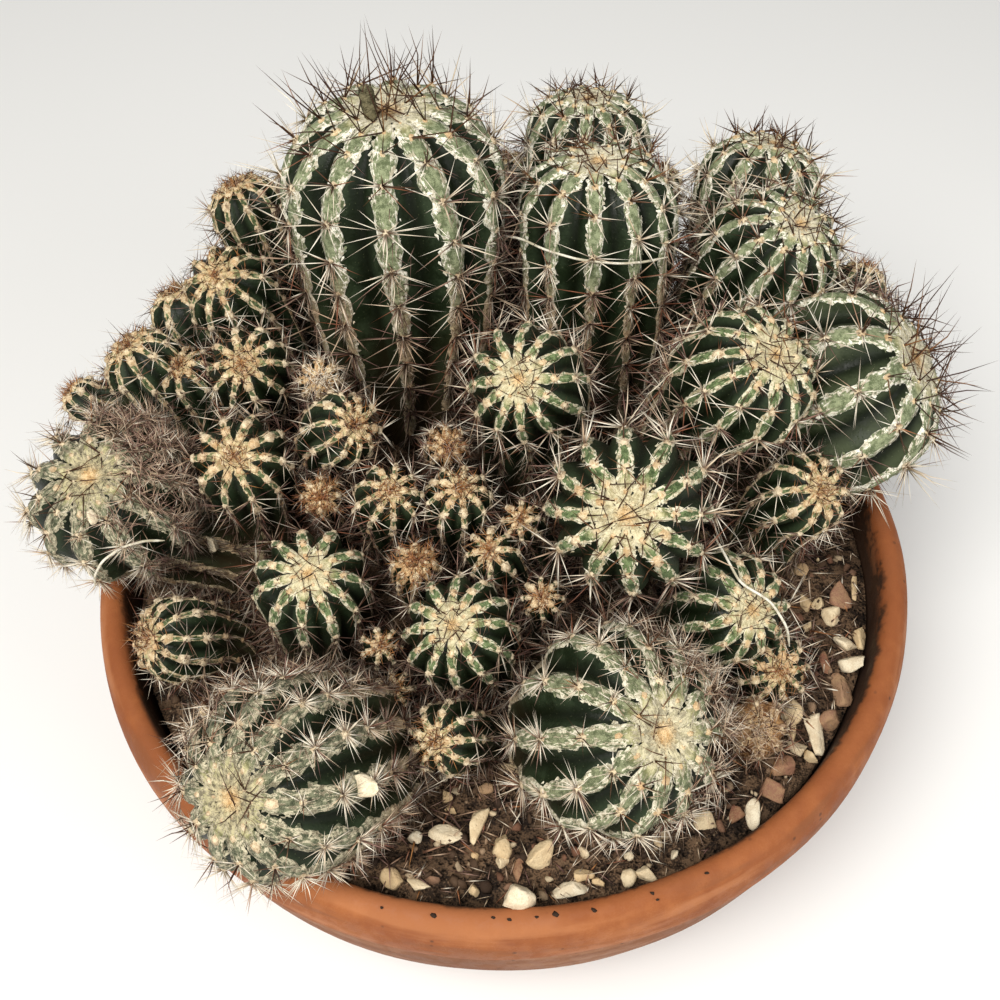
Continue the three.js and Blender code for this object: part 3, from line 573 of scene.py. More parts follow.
# Ways round an areole in degrees, 0 towards the crown and 90 across the rib, for its radial spines
RADIAL_WAYS = (-60, 60, -86, 86, -110, 110, -142, 142, 180, -30, 30, -74, 74)


def aimed(normal, upward, over, round_ways, rise):
    """The way of a spine by its angle round the normal, 0 towards the crown, and its rise from the surface"""
    flat = upward * np.cos(round_ways)[..., None] + over * np.sin(round_ways)[..., None]
    return unit(flat * np.cos(rise)[..., None] + normal * np.sin(rise)[..., None])


# How the spines of a head grow: their length beside the usual, the reach of young radials beside grown ones,
# how many of them stand on each young areole, the reach of the central ones there, how far down dark crown
# spines grow in radii, the share of its areoles that have them, how many, how long and how thick they are,
# the share of them that stand up, the share of grown spines that are dried, and the share of these that
# are tan
MANNERS = {
    "erect": SimpleNamespace(
        length=1.0, young_reach=0.85, young_count=8, young_central=0.95, crown_to=0.66, crown_share=1.0,
        crown_count=3, crown_reach=1.35, crown_girth=1.05, standing=0.8, dried=0.1, tan=0.75),
    "combed": SimpleNamespace(
        length=1.0, young_reach=0.8, young_count=8, young_central=0.8, crown_to=0.6, crown_share=1.0,
        crown_count=4, crown_reach=0.8, crown_girth=0.9, standing=0.55, dried=0.12, tan=0.7),
    "bristly": SimpleNamespace(
        length=0.62, young_reach=0.9, young_count=10, young_central=1.15, crown_to=0.5, crown_share=0.3,
        crown_count=5, crown_reach=1.45, crown_girth=1.2, standing=0.2, dried=0.15, tan=0.7),
    "calm": SimpleNamespace(
        length=1.0, young_reach=0.42, young_count=5, young_central=0.52, crown_to=0.5, crown_share=1.0,
        crown_count=3, crown_reach=0.9, crown_girth=0.88, standing=0.08, dried=0.42, tan=0.6),
}


# Lengths of spines: a bud's, and the two numbers by which a head's follows from its radius
BUD_SPINE = 4.0
LEAST_SPINE = 4.2
SPINE_BY_RADIUS = 0.29
# Radii at the foot of spines, by the kind of head, and of what is finer than they are
SPINE_GIRTHS = {"bristly": 0.15, "large": 0.21, "bud": 0.12, "small": 0.155}
CENTRAL_GIRTH = 1.15
BRISTLE_GIRTH = 0.12
SHRED_GIRTH = 0.13
BRISTLE_LENGTHS = 1.8, 4.6
SHRED_LENGTHS = 2.4, 7.5
THATCH_LENGTHS = 4, 9
# How many bristles stand on a fuzzy bud and on another young head, and shreds at an areole by size of head
BRISTLE_COUNTS = 240, 120
SHRED_COUNTS = 16, 3


def usual_length(growth):
    if growth.bud:
        return BUD_SPINE
    return (LEAST_SPINE + SPINE_BY_RADIUS * growth.radius) * MANNERS[growth.manner].length


def chance(draw, count, share):
    return draw.uniform(0, 1, count) < share


def head_spines(growth, s, rib):
    """Every areole's radial and central spines, and the dark net of young ones over the crown"""
    draw, radius, manner = growth.draw, growth.radius, MANNERS[growth.manner]
    large = radius > LARGE_RADIUS
    shape = Shape()
    spot, normal, upward, over = growth.frame_at(s, rib, np.zeros(len(s)))
    spot = spot + normal * 0.2
    usual = usual_length(growth)
    kind = "large" if large else "bud" if growth.bud else "small"
    girth = SPINE_GIRTHS["bristly" if growth.manner == "bristly" else kind]
    crown = s < manner.crown_to * radius
    young = ~crown & (s < 0.92 * radius)
    grown = ~crown & ~young
    old = growth.past(1.2, 2.3, s)
    crowded = crowding(growth, s, spot)
    # Painted shade: how much each spine is darkened low on its head and among the other heads; it also raises
    # the share of dried tones
    deep = np.maximum(painted_shade_and_drying(growth, s, spot), crowded)

    def grow(at, turn, rise, length, thick, tones, fine=False):
        out = aimed(normal[at], upward[at], over[at], turn, np.radians(rise))
        thick = thick * draw.uniform(0.8, 1.15, len(at))
        needles(shape, spot[at], out, length, thick, tones, draw, fine, deep[at])

    def radials(chosen, ways, reach, tones_for, rise_from, rise_to):
        turn_to = np.radians(np.array(ways))
        at = np.repeat(np.where(chosen)[0], len(turn_to))
        turn = np.tile(turn_to, np.count_nonzero(chosen)) + draw.normal(0, 0.2, len(at))
        kept = chance(draw, len(at), 0.9 - 0.4 * crowded[at])
        at, turn = at[kept], turn[kept]
        length = usual * reach * draw.uniform(0.55, 1.3, len(at)) * (0.7 + 0.35 * np.abs(np.sin(turn)))
        rise = draw.uniform(rise_from, rise_to, len(at))
        grow(at, turn, rise, length, girth * (1 if reach > 0.5 else 0.8), tones_for(at))

    def grown_tones(at):
        pale = BEIGE + draw.normal(0, 0.05, len(at))
        dried = np.where(chance(draw, len(at), manner.tan), TAN, MAUVE) + draw.normal(0, 0.06, len(at))
        dried = np.where(chance(draw, len(at), 0.15), RUSSET, dried)
        share = 1 if growth.dry else manner.dried + (0.9 - manner.dried) * np.maximum(old[at], deep[at])
        return np.where(chance(draw, len(at), share), dried, pale)

    def young_tones(at):
        darker = np.where(chance(draw, len(at), 0.45), DARK + 0.02, RUSSET + 0.03)
        darker = darker + draw.normal(0, 0.02, len(at))
        pale = BEIGE + draw.normal(0, 0.05, len(at))
        share = 0.8 if not large else 0.6 if growth.manner == "calm" else 0.35
        return np.where(chance(draw, len(at), share), darker, pale)

    def dark_tones(at):
        return DARK + draw.normal(0, 0.03, len(at))

    low = s > growth.neck_from + 0.1 * (growth.total - growth.neck_from)
    ways = RADIAL_WAYS * 3 if growth.manner == "bristly" else RADIAL_WAYS[:12 if large else 10]
    radials(grown & ~low, ways, 1.0, grown_tones, 8, 42)
    radials(grown & low & (s < growth.shown_to), RADIAL_WAYS[:8], 0.9, grown_tones, 20, 68)
    radials(young, RADIAL_WAYS[:manner.young_count], manner.young_reach, young_tones, 10, 40)

    at = np.repeat(np.where(grown | young)[0], 2 if large and growth.manner != "calm" else 1)
    reach = np.where(young[at], manner.young_central, 0.95)
    tones = np.where(young[at], dark_tones(at), grown_tones(at))
    leaning, upright = draw.uniform(8, 60, len(at)), draw.uniform(45, 88, len(at))
    rise = np.where(young[at] & (growth.manner == "calm"), leaning, upright)
    grow(at, draw.uniform(0, TAU, len(at)), rise, usual * reach * draw.uniform(0.7, 1.25, len(at)),
         girth * CENTRAL_GIRTH, tones, large)

    bearing = crown & chance(draw, len(s), manner.crown_share)
    at = np.repeat(np.where(bearing)[0], manner.crown_count)
    at = at[chance(draw, len(at), 0.3 + 0.7 * growth.past(0.1, 0.4, s[at]))]
    up = chance(draw, len(at), manner.standing)
    rise = np.where(up, draw.uniform(30, 80, len(at)), draw.uniform(4, 24, len(at)))
    length = usual * manner.crown_reach * draw.uniform(0.55, 1.2, len(at))
    grow(at, draw.uniform(0, TAU, len(at)), rise, length, girth * manner.crown_girth, dark_tones(at), large)

    shreds(growth, shape, spot, normal, upward, over, old, deep)
    if radius < SMALL_RADIUS:
        bristles(growth, shape)
    thatch(growth, shape)
    return shape


# Bristles of the youngest heads: brown and orange ones, and those of the buds that differ
BRISTLES = {
    "usual": [ORANGE, ORANGE + 0.03, ORANGE - 0.03, RUSSET, BEIGE - 0.14],
    "red": [ORANGE + 0.05, RUSSET, RUSSET - 0.03, ORANGE, DARK + 0.05],
    "dark": [DARK + 0.06, RUSSET, MAUVE, ORANGE - 0.02, BEIGE - 0.14],
    "pale": [BEIGE, BEIGE - 0.04, BEIGE, TAN],
    "tan": [TAN, TAN + 0.06, RUSSET + 0.08, BEIGE - 0.1],
}


def bristles(growth, shape):
    """Fine bristles of the youngest heads and of the dried one, thickest at the crown"""
    draw, radius = growth.draw, growth.radius
    fuzzy = growth.look in ("bud", "dry")
    count = BRISTLE_COUNTS[0 if fuzzy else 1]
    s = radius * draw.uniform(0, 1.1 if fuzzy else 0.75, count) ** 1.2
    rib, x = draw.integers(0, growth.ribs, count), draw.normal(0, 0.3, count)
    spot, normal, upward, over = growth.frame_at(s, rib, x)
    rise = np.radians(draw.uniform(15, 75, count))
    out = aimed(normal, upward, over, draw.uniform(0, TAU, count), rise)
    tones = draw.choice(BRISTLES[growth.plan.bristle or "usual"], count)
    tones = tones + draw.normal(0, 0.03, count)
    lengths = draw.uniform(*BRISTLE_LENGTHS, count)
    needles(shape, spot, out, lengths, np.full(count, BRISTLE_GIRTH), tones, draw)


def crowding(growth, s, spot):
    """How closely other heads shut a place in below its own head's shoulder, from 0 to 1"""
    nearest = np.full(len(spot), 99.0)
    for other in GROWTHS:
        if other is not growth:
            apart = np.linalg.norm(spot[:, None] - other.columns[:3].T, axis=-1) - other.columns[9]
            nearest = np.minimum(nearest, apart.min(axis=1))
    return smooth(11, 4, nearest) * growth.past(0.9, 1.6, s)


# Middle of the part of the clump where spines lie deep among the heads, darkened with painted shade
SHELTER = (-14, 8)


def painted_shade_and_drying(growth, s, spot):
    """How much painted shade darkens a spine, from 0 to 1: low on its head, and deep between the clump's
    heads; it also raises a spine's share of dried tones
    """
    low = smooth(0.88 * growth.neck_from, growth.neck_from + 0.4 * (growth.shown_to - growth.neck_from), s)
    away = np.hypot(spot[:, 0] - SHELTER[0], spot[:, 1] - SHELTER[1])
    return np.maximum(low * 0.8, smooth(110, 88, spot[:, 2]) * smooth(82, 64, away))


def shreds(growth, shape, spot, normal, upward, over, old, deep):
    """Brown fibres into which the felt of old areoles breaks up, hanging down the crest"""
    draw = growth.draw
    at = np.repeat(np.where(old > 0.12)[0], SHRED_COUNTS[0 if growth.radius > LARGE_RADIUS else 1])
    turn = math.pi + draw.normal(0, 0.7, len(at))
    rise = np.radians(draw.uniform(2, 40, len(at)))
    length = draw.uniform(*SHRED_LENGTHS, len(at)) * min(1, growth.radius / 18)
    start = spot[at] + over[at] * draw.normal(0, 0.8, len(at))[:, None]
    start = start - upward[at] * draw.uniform(-1, 4, (len(at), 1))
    tones = draw.choice([TAN, TAN - 0.05, RUSSET + 0.07, BEIGE - 0.08], len(at))
    tones = tones + draw.normal(0, 0.04, len(at))
    needles(shape, start, aimed(normal[at], upward[at], over[at], turn, rise), length,
            np.full(len(at), SHRED_GIRTH), tones, draw, deep=deep[at])


# Where dried spines lie thick on a head: the way that this side of it faces, how many, and their tone
THATCH = {
    "head_tall": ((0.95, -0.3, 0.0), 420, MAUVE),
    "head_left": ((0.75, 0.15, 0.65), 1400, TAN + 0.06),
    "head_right": ((0.75, 0.6, 0.1), 500, MAUVE),
    "head_front_left": ((-0.6, 0.5, 0.6), 520, TAN),
    "head_front_right": ((0.9, 0.2, 0.3), 620, TAN),
}


def thatch(growth, shape):
    """Dried spines tangled over one side of a head"""
    if growth.plan.name not in THATCH:
        return
    side, count, tone = THATCH[growth.plan.name]
    draw = growth.draw
    wished = count * 5
    s = draw.uniform(0.5 * growth.radius, growth.neck_from + 6, wished)
    rib = draw.integers(0, growth.ribs, wished)
    spot, normal, upward, over = growth.frame_at(s, rib, draw.normal(0, 0.3, wished))
    facing = normal @ unit(np.array(side))
    at = np.where(facing > draw.uniform(0.3, 0.95, wished))[0][:count]
    rise = np.radians(draw.uniform(5, 45, len(at)))
    out = aimed(normal[at], upward[at], over[at], draw.uniform(0, TAU, len(at)), rise)
    tones = tone + draw.normal(0, 0.08, len(at))
    # Painted shade: thatch darkened low on its head and deep in the clump
    deep = painted_shade_and_drying(growth, s[at], spot[at])
    needles(shape, spot[at] + normal[at] * draw.uniform(0, 2.5, len(at))[:, None], out,
            draw.uniform(*THATCH_LENGTHS, len(at)), np.full(len(at), SHRED_GIRTH), tones, draw, deep=deep)


# Outline of half the bowl's section: how far out, and how high
POT_OUTLINE = [
    (60, 0), (71, 5.5), (82, 13), (89.5, 24), (94, 36), (96.4, 46), (97.3, 54.5), (98.6, 56.6), (99.8, 60),
    (99.8, 66), (98.6, 70.2), (96, POT_HEIGHT), (93.4, 71.4), (92.3, 69), (91.2, 60), (88, 38), (75, 16),
    (56, 7),
]


def rounded(outline, times):
    """Cuts the corners of an open outline, keeping its ends"""
    points = np.array(outline, float)
    for _ in range(times):
        near = points[:-1] * 0.75 + points[1:] * 0.25
        far = points[:-1] * 0.25 + points[1:] * 0.75
        points = np.vstack([points[:1], np.stack([near, far], 1).reshape(-1, 2), points[-1:]])
    return points


def bowl():
    """The low clay bowl, turned from its section"""
    outline = rounded(POT_OUTLINE, 2)
    turn = TAU * np.arange(POT_SIDES) / POT_SIDES
    reach, high = outline[:, :1], np.tile(outline[:, 1:], POT_SIDES)
    wobble = 1 + 0.0022 * np.sin(2 * turn + 0.7) + 0.0012 * np.sin(5 * turn)
    dent = 0.16 * np.sin(11 * turn + high * 0.12) * np.sin(high * 0.21 + 3 * turn)
    reach = reach * wobble + dent
    points = np.stack([reach * np.cos(turn), reach * np.sin(turn), high], -1).reshape(-1, 3)
    quads, places = grid(len(outline), POT_SIDES, closed=True)
    quads, places = quads[:, ::-1], places[:, ::-1]
    places[..., 1] = 0.04 + 0.92 * places[..., 1]
    ends = np.array([[0, 0, 0], [0, 0, outline[-1, 1]]])
    column = np.arange(POT_SIDES)
    under = fan(len(points), column, outward=False)
    floor = fan(len(points) + 1, (len(outline) - 1) * POT_SIDES + column, outward=True)
    cap_places = []
    for caps, edge, tip in ((under, 0.04, 0), (floor, 0.96, 1)):
        u = (caps[:, 1:] % POT_SIDES) / POT_SIDES
        v = np.tile([tip, edge, edge], (POT_SIDES, 1))
        cap_places.append(np.stack([np.column_stack([u.mean(1), u]), v], -1))
    shape = Shape()
    shape.add(np.vstack([points, ends]), [quads, under, floor], [places, *cap_places])
    return shape.made("bowl", [terracotta()], "terracotta", ["pot"])


SOIL_RINGS = 60
SOIL_SPOKES = 190
SOIL_FOOT = 52


def ground_height(x, y):
    """Top of the soil: lumpy, a little lower beside the rim, and drawn up among the necks"""
    flat = np.stack([x, y, np.zeros_like(x)], -1).reshape(-1, 3)
    lumps = sum(ripple(flat, wide, seed) * high for wide, seed, high in SOIL_LUMPS)
    away = np.hypot(x, y)
    uneven = SOIL_TOP - 0.6 + lumps.reshape(x.shape) * 0.9
    return uneven + 1.2 * smooth(75, 20, away) - 0.8 * smooth(84, 90, away)


def soil_bed():
    """The soil as a closed body, its top a fine grid of rings"""
    reach = np.append(np.linspace(1.5, SOIL_RADIUS, SOIL_RINGS), [SOIL_RADIUS, SOIL_RADIUS - 2])
    turn = TAU * np.arange(SOIL_SPOKES) / SOIL_SPOKES
    x, y = reach[:, None] * np.cos(turn), reach[:, None] * np.sin(turn)
    z = ground_height(x, y)
    z[-2:] = [[SOIL_FOOT + 4], [SOIL_FOOT]]
    points = np.stack([x, y, z], -1).reshape(-1, 3)
    quads, places = grid(len(reach), SOIL_SPOKES, closed=True)
    ends = np.array([[0, 0, SOIL_TOP], [0, 0, SOIL_FOOT]])
    column = np.arange(SOIL_SPOKES)
    top = fan(len(points), column, outward=True)
    under = fan(len(points) + 1, (len(reach) - 1) * SOIL_SPOKES + column, outward=False)
    points = np.vstack([points, ends])
    disc = 0.5 + points[:, :2] / SOIL_RADIUS / 2.1
    shape = Shape()
    shape.add(points, [quads, top, under], [disc[quads], disc[top], disc[under]])
    return shape.made("soil_bed", [soil()], "soil", ["soil"])


def ball(levels):
    """Points and faces of a round-cornered ball, an icosahedron split a number of times"""
    golden = (1 + 5 ** 0.5) / 2
    points = [(-1, golden, 0), (1, golden, 0), (-1, -golden, 0), (1, -golden, 0)]
    points = points + [(0, a, b) for a, b in ((-1, golden), (1, golden), (-1, -golden), (1, -golden))]
    points = points + [(b, 0, a) for a, b in ((-1, golden), (1, golden), (-1, -golden), (1, -golden))]
    points = [np.array(p) / math.hypot(1, golden) for p in points]
    gap = min(np.linalg.norm(points[0] - p) for p in points[1:]) * 1.1
    near = [[j for j, q in enumerate(points) if 0 < np.linalg.norm(p - q) < gap] for p in points]
    faces = {tuple(sorted((i, j, k))) for i, beside in enumerate(near) for j in beside for k in beside
             if k in near[j]}
    faces = [f if np.dot(np.cross(points[f[1]] - points[f[0]], points[f[2]] - points[f[0]]), points[f[0]]) > 0
             else f[::-1] for f in sorted(faces)]
    for _ in range(levels):
        middles, finer = {}, []
        for a, b, c in faces:
            corners = []
            for pair in ((a, b), (b, c), (c, a)):
                key = tuple(sorted(pair))
                if key not in middles:
                    middles[key] = len(points)
                    points.append(unit(points[key[0]] + points[key[1]]))
                corners.append(middles[key])
            ab, bc, ca = corners
            finer += [(a, ab, ca), (ab, b, bc), (ca, bc, c), (ab, bc, ca)]
        faces = finer
    return np.array(points), np.array(faces)


STONE_FACETS = 9


def stones(shape, centres, sizes, draw, levels, rough, tints=None, shaped=None):
    """Rough stones, each squashed and turned its own way, or shaped by its own lengths to three sides"""
    unit_points, faces = ball(levels)
    count = len(centres)
    points = np.tile(unit_points, (count, 1, 1))
    for _ in range(STONE_FACETS):
        way = unit(draw.normal(size=(count, 1, 3)))
        over = np.maximum((points * way).sum(-1, keepdims=True) - draw.uniform(0.34, 0.72, (count, 1, 1)), 0)
        points = points - over * way * 0.92
    stretch = draw.uniform(0.62, 1.35, (count, 1, 3)) if shaped is None else shaped[:, None]
    pitted = 1 + draw.normal(0, rough, (count, len(unit_points), 1))
    points = points * stretch * pitted
    a, b = draw.uniform(0, TAU, (2, count, 1)) * (1 if shaped is None else 0.05)
    x, y, z = points[..., 0], points[..., 1], points[..., 2]
    x, z = x * np.cos(a) + z * np.sin(a), z * np.cos(a) - x * np.sin(a)
    x, y = x * np.cos(b) + y * np.sin(b), y * np.cos(b) - x * np.sin(b)
    points = np.stack([x, y, z], -1) * sizes[:, None, None] + centres[:, None]
    first = (np.arange(count) * len(unit_points))[:, None]
    all_faces = (first + faces.ravel()).reshape(-1, 3)
    tint = np.repeat(draw.uniform(0, 1, count) if tints is None else tints, len(unit_points))
    shape.add(points, [all_faces], [np.zeros((len(all_faces), 3, 2))], tint=tint)


def ground_spots(count, draw, inner=0.0, outer=88.0):
    """Places spread over the soil, clear of every neck"""
    reach = np.sqrt(draw.uniform(inner ** 2, outer ** 2, count))
    turn = draw.uniform(0, TAU, count)
    x, y = reach * np.cos(turn), reach * np.sin(turn)
    clear = np.ones(count, bool)
    for plan in HEADS:
        clear &= np.hypot(x - plan.root[0], y - plan.root[1]) > plan.radius * neck_share(plan) * 0.95
    return x[clear], y[clear]


# How many pieces are tried for, and from how large to how large
GRIT_COUNT = 1700
GRIT_SIZES = 0.5, 1.7
PUMICE_COUNT = 420
PUMICE_SIZES = 0.9, 2.6
LITTER_COUNT = 2200
LITTER_LENGTHS = 2.5, 9
LITTER_GIRTHS = 0.12, 0.32
LITTER_REACH = 91

# The larger stones that show before the clump: how far right and back, half their width and half their length
# away from the viewer, and tint from red to white
STONES = [
    (-13.6, -74.1, 3.0, 2.1, 0.8), (-6.6, -71.3, 2.2, 4.2, 0.65), (-1.1, -76, 2.5, 2.6, 0.5),
    (-1.6, -79.6, 1.5, 1.4, 0.7), (6.6, -78.2, 2.9, 3.0, 0.6), (-13.7, -64.7, 1.5, 1.2, 0.3),
    (-12.8, -67.6, 1.5, 1.0, 0.3), (-24.5, -83.4, 2.5, 1.8, 0.35), (-19.2, -84.6, 2.3, 1.4, 0.75),
    (12.3, -86.6, 3.6, 2.0, 0.95), (1.8, -81.9, 1.1, 3.1, 0.1), (24.8, -84, 1.6, 1.8, 0.7),
    (29.3, -83.2, 2.3, 1.6, 0.7), (-7.4, -86, 1.1, 1.3, 0.5), (15.5, -83.6, 1.9, 1.3, 0.4),
    (19, -85, 1.3, 1.3, 0.4), (79.9, -18.8, 2.1, 2.5, 0.7), (77.3, -15.5, 1.5, 1.5, 0.6),
    (82.6, -13.5, 2.8, 3.6, 0.12), (74.3, -14.5, 1.5, 3.0, 0.4), (73.8, -21.8, 1.2, 1.4, 0.5),
    (87, -9.8, 1.0, 3.6, 0.45), (81.6, -27.8, 2.9, 2.3, 0.85), (85.4, -25.2, 1.7, 2.6, 0.5),
    (82.4, -32.8, 2.8, 2.5, 0.9), (75.8, -32.6, 1.2, 2.8, 0.05), (78.6, -38.4, 2.6, 4.2, 0.17),
    (69.3, -36.3, 1.4, 2.5, 0.3), (66, -45, 2.1, 2.9, 0.6), (70.6, -50.3, 2.3, 4.6, 0.85),
    (74.6, -47.4, 2.3, 2.2, 0.15), (65.8, -55, 2.5, 2.0, 0.75), (65, -50.2, 1.6, 2.6, 0.45),
    (68.6, -56.4, 1.6, 1.8, 0.6), (61.5, -59.8, 2.9, 2.5, 0.1), (58, -65.4, 3.3, 3.4, 0.1),
    (53.5, -69.8, 2.0, 3.1, 0.95), (49.6, -70.6, 1.7, 2.4, 0.04), (43.4, -72.6, 2.6, 2.3, 0.65),
]
# What a listed stone's facets cut off is made up for by this much
STONE_GAIN = 1.3
# Pale chips caught on the heads, and the one leaning on the rim: middle, radius, and lengths to three sides
CHIPS = [(-27.2, -81.3, 103.4, 2.1, 1.25, 0.8, 1.1), (-89.7, -17.7, 107, 1.3, 1, 1, 1),
         (-68.8, -8, 84, 2.0, 1, 1, 1.3), (1, -90.3, 70.5, 2.9, 1.15, 0.9, 1.1)]
CHIP_TINT = 0.9
# Crumbs of earth on the front of the rim: how far right and back, and radius
CRUMBS = [(-15.7, -94.6, 0.75), (-3.6, -95.3, 0.5), (-0.2, -95.7, 0.65), (5.3, -95.4, 0.5), (9, -94.8, 0.8),
          (16.9, -94.2, 0.75), (29, -90.8, 0.6), (30, -92.3, 0.5), (-26.2, -92.8, 0.5), (40.5, -86.9, 0.6)]
RIM_TOP = POT_HEIGHT - 0.1


def loose_stones():
    """Grit, a few red stones, the pale pumice chips, and the fallen spines strewn over the soil"""
    draw = np.random.default_rng(STONE_SEED)
    grit = Shape()
    x, y = ground_spots(GRIT_COUNT, draw, inner=30)
    sizes = draw.uniform(*GRIT_SIZES, len(x))
    stones(grit, np.stack([x, y, ground_height(x, y) + sizes * 0.25], -1), sizes, draw, 0, 0.1)
    crumbs = np.array(CRUMBS)
    flat = np.tile([1.2, 0.9, 0.45], (len(crumbs), 1))
    places = np.column_stack([crumbs[:, :2], np.full(len(crumbs), RIM_TOP)])
    stones(grit, places, crumbs[:, 2], draw, 0, 0.1, np.zeros(len(crumbs)), flat)
    grit.made("grit", [grit_stone()], "soil", mapped=False)

    pumice = Shape()
    x, y, wide, deep, tints = np.array(STONES).T
    thick = 0.9 * np.minimum(wide, deep)
    large = np.stack([x, y, ground_height(x, y) + thick * 0.5], -1)
    sizes = np.maximum(wide, deep)
    lengths = np.stack([wide, deep, thick], -1)
    stones(pumice, large, np.full(len(x), STONE_GAIN), draw, 2, 0.035, tints, lengths)
    chips = np.array(CHIPS)
    pale = np.full(len(chips), CHIP_TINT)
    stones(pumice, chips[:, :3], chips[:, 3] * STONE_GAIN, draw, 2, 0.05, pale, chips[:, 4:])
    x, y = ground_spots(PUMICE_COUNT, draw, inner=50, outer=87)
    small = draw.uniform(*PUMICE_SIZES, len(x))
    place = np.stack([x, y, ground_height(x, y) + small * 0.35], -1)
    taken, spaced = list(zip(large, sizes)), []
    for i, (spot, size) in enumerate(zip(place, small)):
        if all(np.linalg.norm(spot - other) > (size + reach) * 1.05 + 0.4 for other, reach in taken):
            taken.append((spot, size))
            spaced.append(i)
    stones(pumice, place[spaced], small[spaced], draw, 1, 0.03)
    pumice.made("pumice", [pumice_stone()], "pebble", mapped=False)

    litter = Shape()
    x, y = ground_spots(LITTER_COUNT, draw, inner=45, outer=89)
    turn = draw.uniform(0, TAU, len(x))
    ways = unit(np.stack([np.cos(turn), np.sin(turn), draw.normal(0.05, 0.15, len(x))], -1))
    place = np.stack([x, y, ground_height(x, y) + draw.uniform(0.2, 1.9, len(x))], -1)
    tones = draw.choice([RUSSET, TAN, TAN, MAUVE, BEIGE - 0.06], len(x)) + draw.normal(0, 0.06, len(x))
    room = LITTER_REACH - np.hypot(x, y)
    lengths = np.maximum(np.minimum(draw.uniform(*LITTER_LENGTHS, len(x)), room), 1)
    needles(litter, place, ways, lengths, draw.uniform(*LITTER_GIRTHS, len(x)), tones, draw)
    litter.made("fallen_spines", [spine()], "spine")


# Long pale fibres that lie over the spines, as points from one end to the other
FIBRES = {
    "fibre_upright": [(1, 50, 127), (5.6, 45.3, 130), (11.2, 38.7, 131.8), (19, 34.7, 132), (28.2, 34, 131.2),
                      (34.2, 35.9, 130), (40, 39.8, 128)],
    "fibre_right": [(46.5, -21.5, 101), (48.7, -28.4, 101), (50.8, -34, 100), (57.4, -36.6, 97),
                    (61.5, -39.5, 91), (63, -40, 84)],
    "fibre_left": [(-91.9, -24.6, 90.5), (-90.9, -24.6, 95), (-88.3, -23.6, 99), (-83.6, -21.9, 101.6),
                   (-79, -20.3, 101.6), (-75.3, -18.6, 99.3)],
}
FIBRE_SIDES = 6
FIBRE_RADIUS = 0.3


def fibre(name, route):
    """One pale fibre: a thin tube, thinner towards its ends"""
    route = np.array(route, float)
    t = np.linspace(0, len(route) - 1, 8 * (len(route) - 1) + 1)
    line = np.stack([np.interp(t, np.arange(len(route)), column) for column in route.T], -1)
    for _ in range(6):
        line[1:-1] = (line[:-2] + line[1:-1] * 2 + line[2:]) / 4
    along = unit(np.gradient(line, axis=0))
    side = unit(np.cross(along, [0.1, 0.2, 1]))
    other = np.cross(along, side)
    thick = FIBRE_RADIUS * np.clip(np.sin(math.pi * np.linspace(0.04, 0.96, len(line))) * 3, 0.3, 1)
    turn = TAU * np.arange(FIBRE_SIDES) / FIBRE_SIDES
    ring = side[:, None] * np.cos(turn)[:, None] + other[:, None] * np.sin(turn)[:, None]
    points = line[:, None] + ring * thick[:, None, None]
    quads, places = grid(len(line), FIBRE_SIDES, closed=True)
    shape = Shape()
    shape.add(points, [quads[:, ::-1]], [places[:, ::-1]])
    shape.made(name, [pale_fibre()], "spine")


STUB_FOOT = (-27.4, 55.8, 155.4)
STUB_WAY = (-0.06, -0.12, 1.0)
STUB_LENGTH = 9.6
STUB_RADII = (1.5, 1.35, 1.5, 1.7, 1.62, 1.75, 1.3)
STUB_SIDES = 14


def flower_stub():
    """The dried foot of a fallen flower, standing on the crown of the tallest head"""
    way = unit(np.array(STUB_WAY))
    side = unit(np.cross(way, [0.0, 1.0, 0.0]))
    other = np.cross(way, side)
    turn = TAU * np.arange(STUB_SIDES) / STUB_SIDES
    share = np.linspace(0, 1, len(STUB_RADII))
    folds = 1 + 0.11 * np.cos(turn * STUB_SIDES / 2) + 0.05 * np.sin(3 * turn)
    reach = np.array(STUB_RADII)[:, None] * folds
    centres = np.array(STUB_FOOT) + way * (share * STUB_LENGTH)[:, None]
    points = centres[:, None] + side * (np.cos(turn) * reach)[..., None]
    points = points + other * (np.sin(turn) * reach)[..., None]
    quads, places = grid(len(STUB_RADII), STUB_SIDES, closed=True)
    places[..., 1] = 0.05 + 0.9 * places[..., 1]
    ends = np.array([centres[0], centres[-1] - way * 0.8])
    column, total = np.arange(STUB_SIDES), len(STUB_RADII) * STUB_SIDES
    caps = [fan(total, column, outward=False), fan(total + 1, total - STUB_SIDES + column, outward=True)]
    spin = np.stack([np.cos(turn), np.sin(turn)], -1)
    cap_places = []
    for cap, edge in zip(caps, (0.0, 1.0)):
        ring = 0.5 + 0.02 * spin[cap[:, 1:] % STUB_SIDES]
        middle = np.full((STUB_SIDES, 1, 2), 0.5)
        cap_places.append(np.concatenate([middle, ring], 1) * [1, 0.04] + [0, edge * 0.955])
    shape = Shape()
    shape.add(np.vstack([points.reshape(-1, 3), ends]), [quads[:, ::-1], *[c[:, ::-1] for c in caps]],
              [places[:, ::-1], *[c[:, ::-1] for c in cap_places]])
    shape.made("flower_stub", [dried_flower()], "dry_skin")


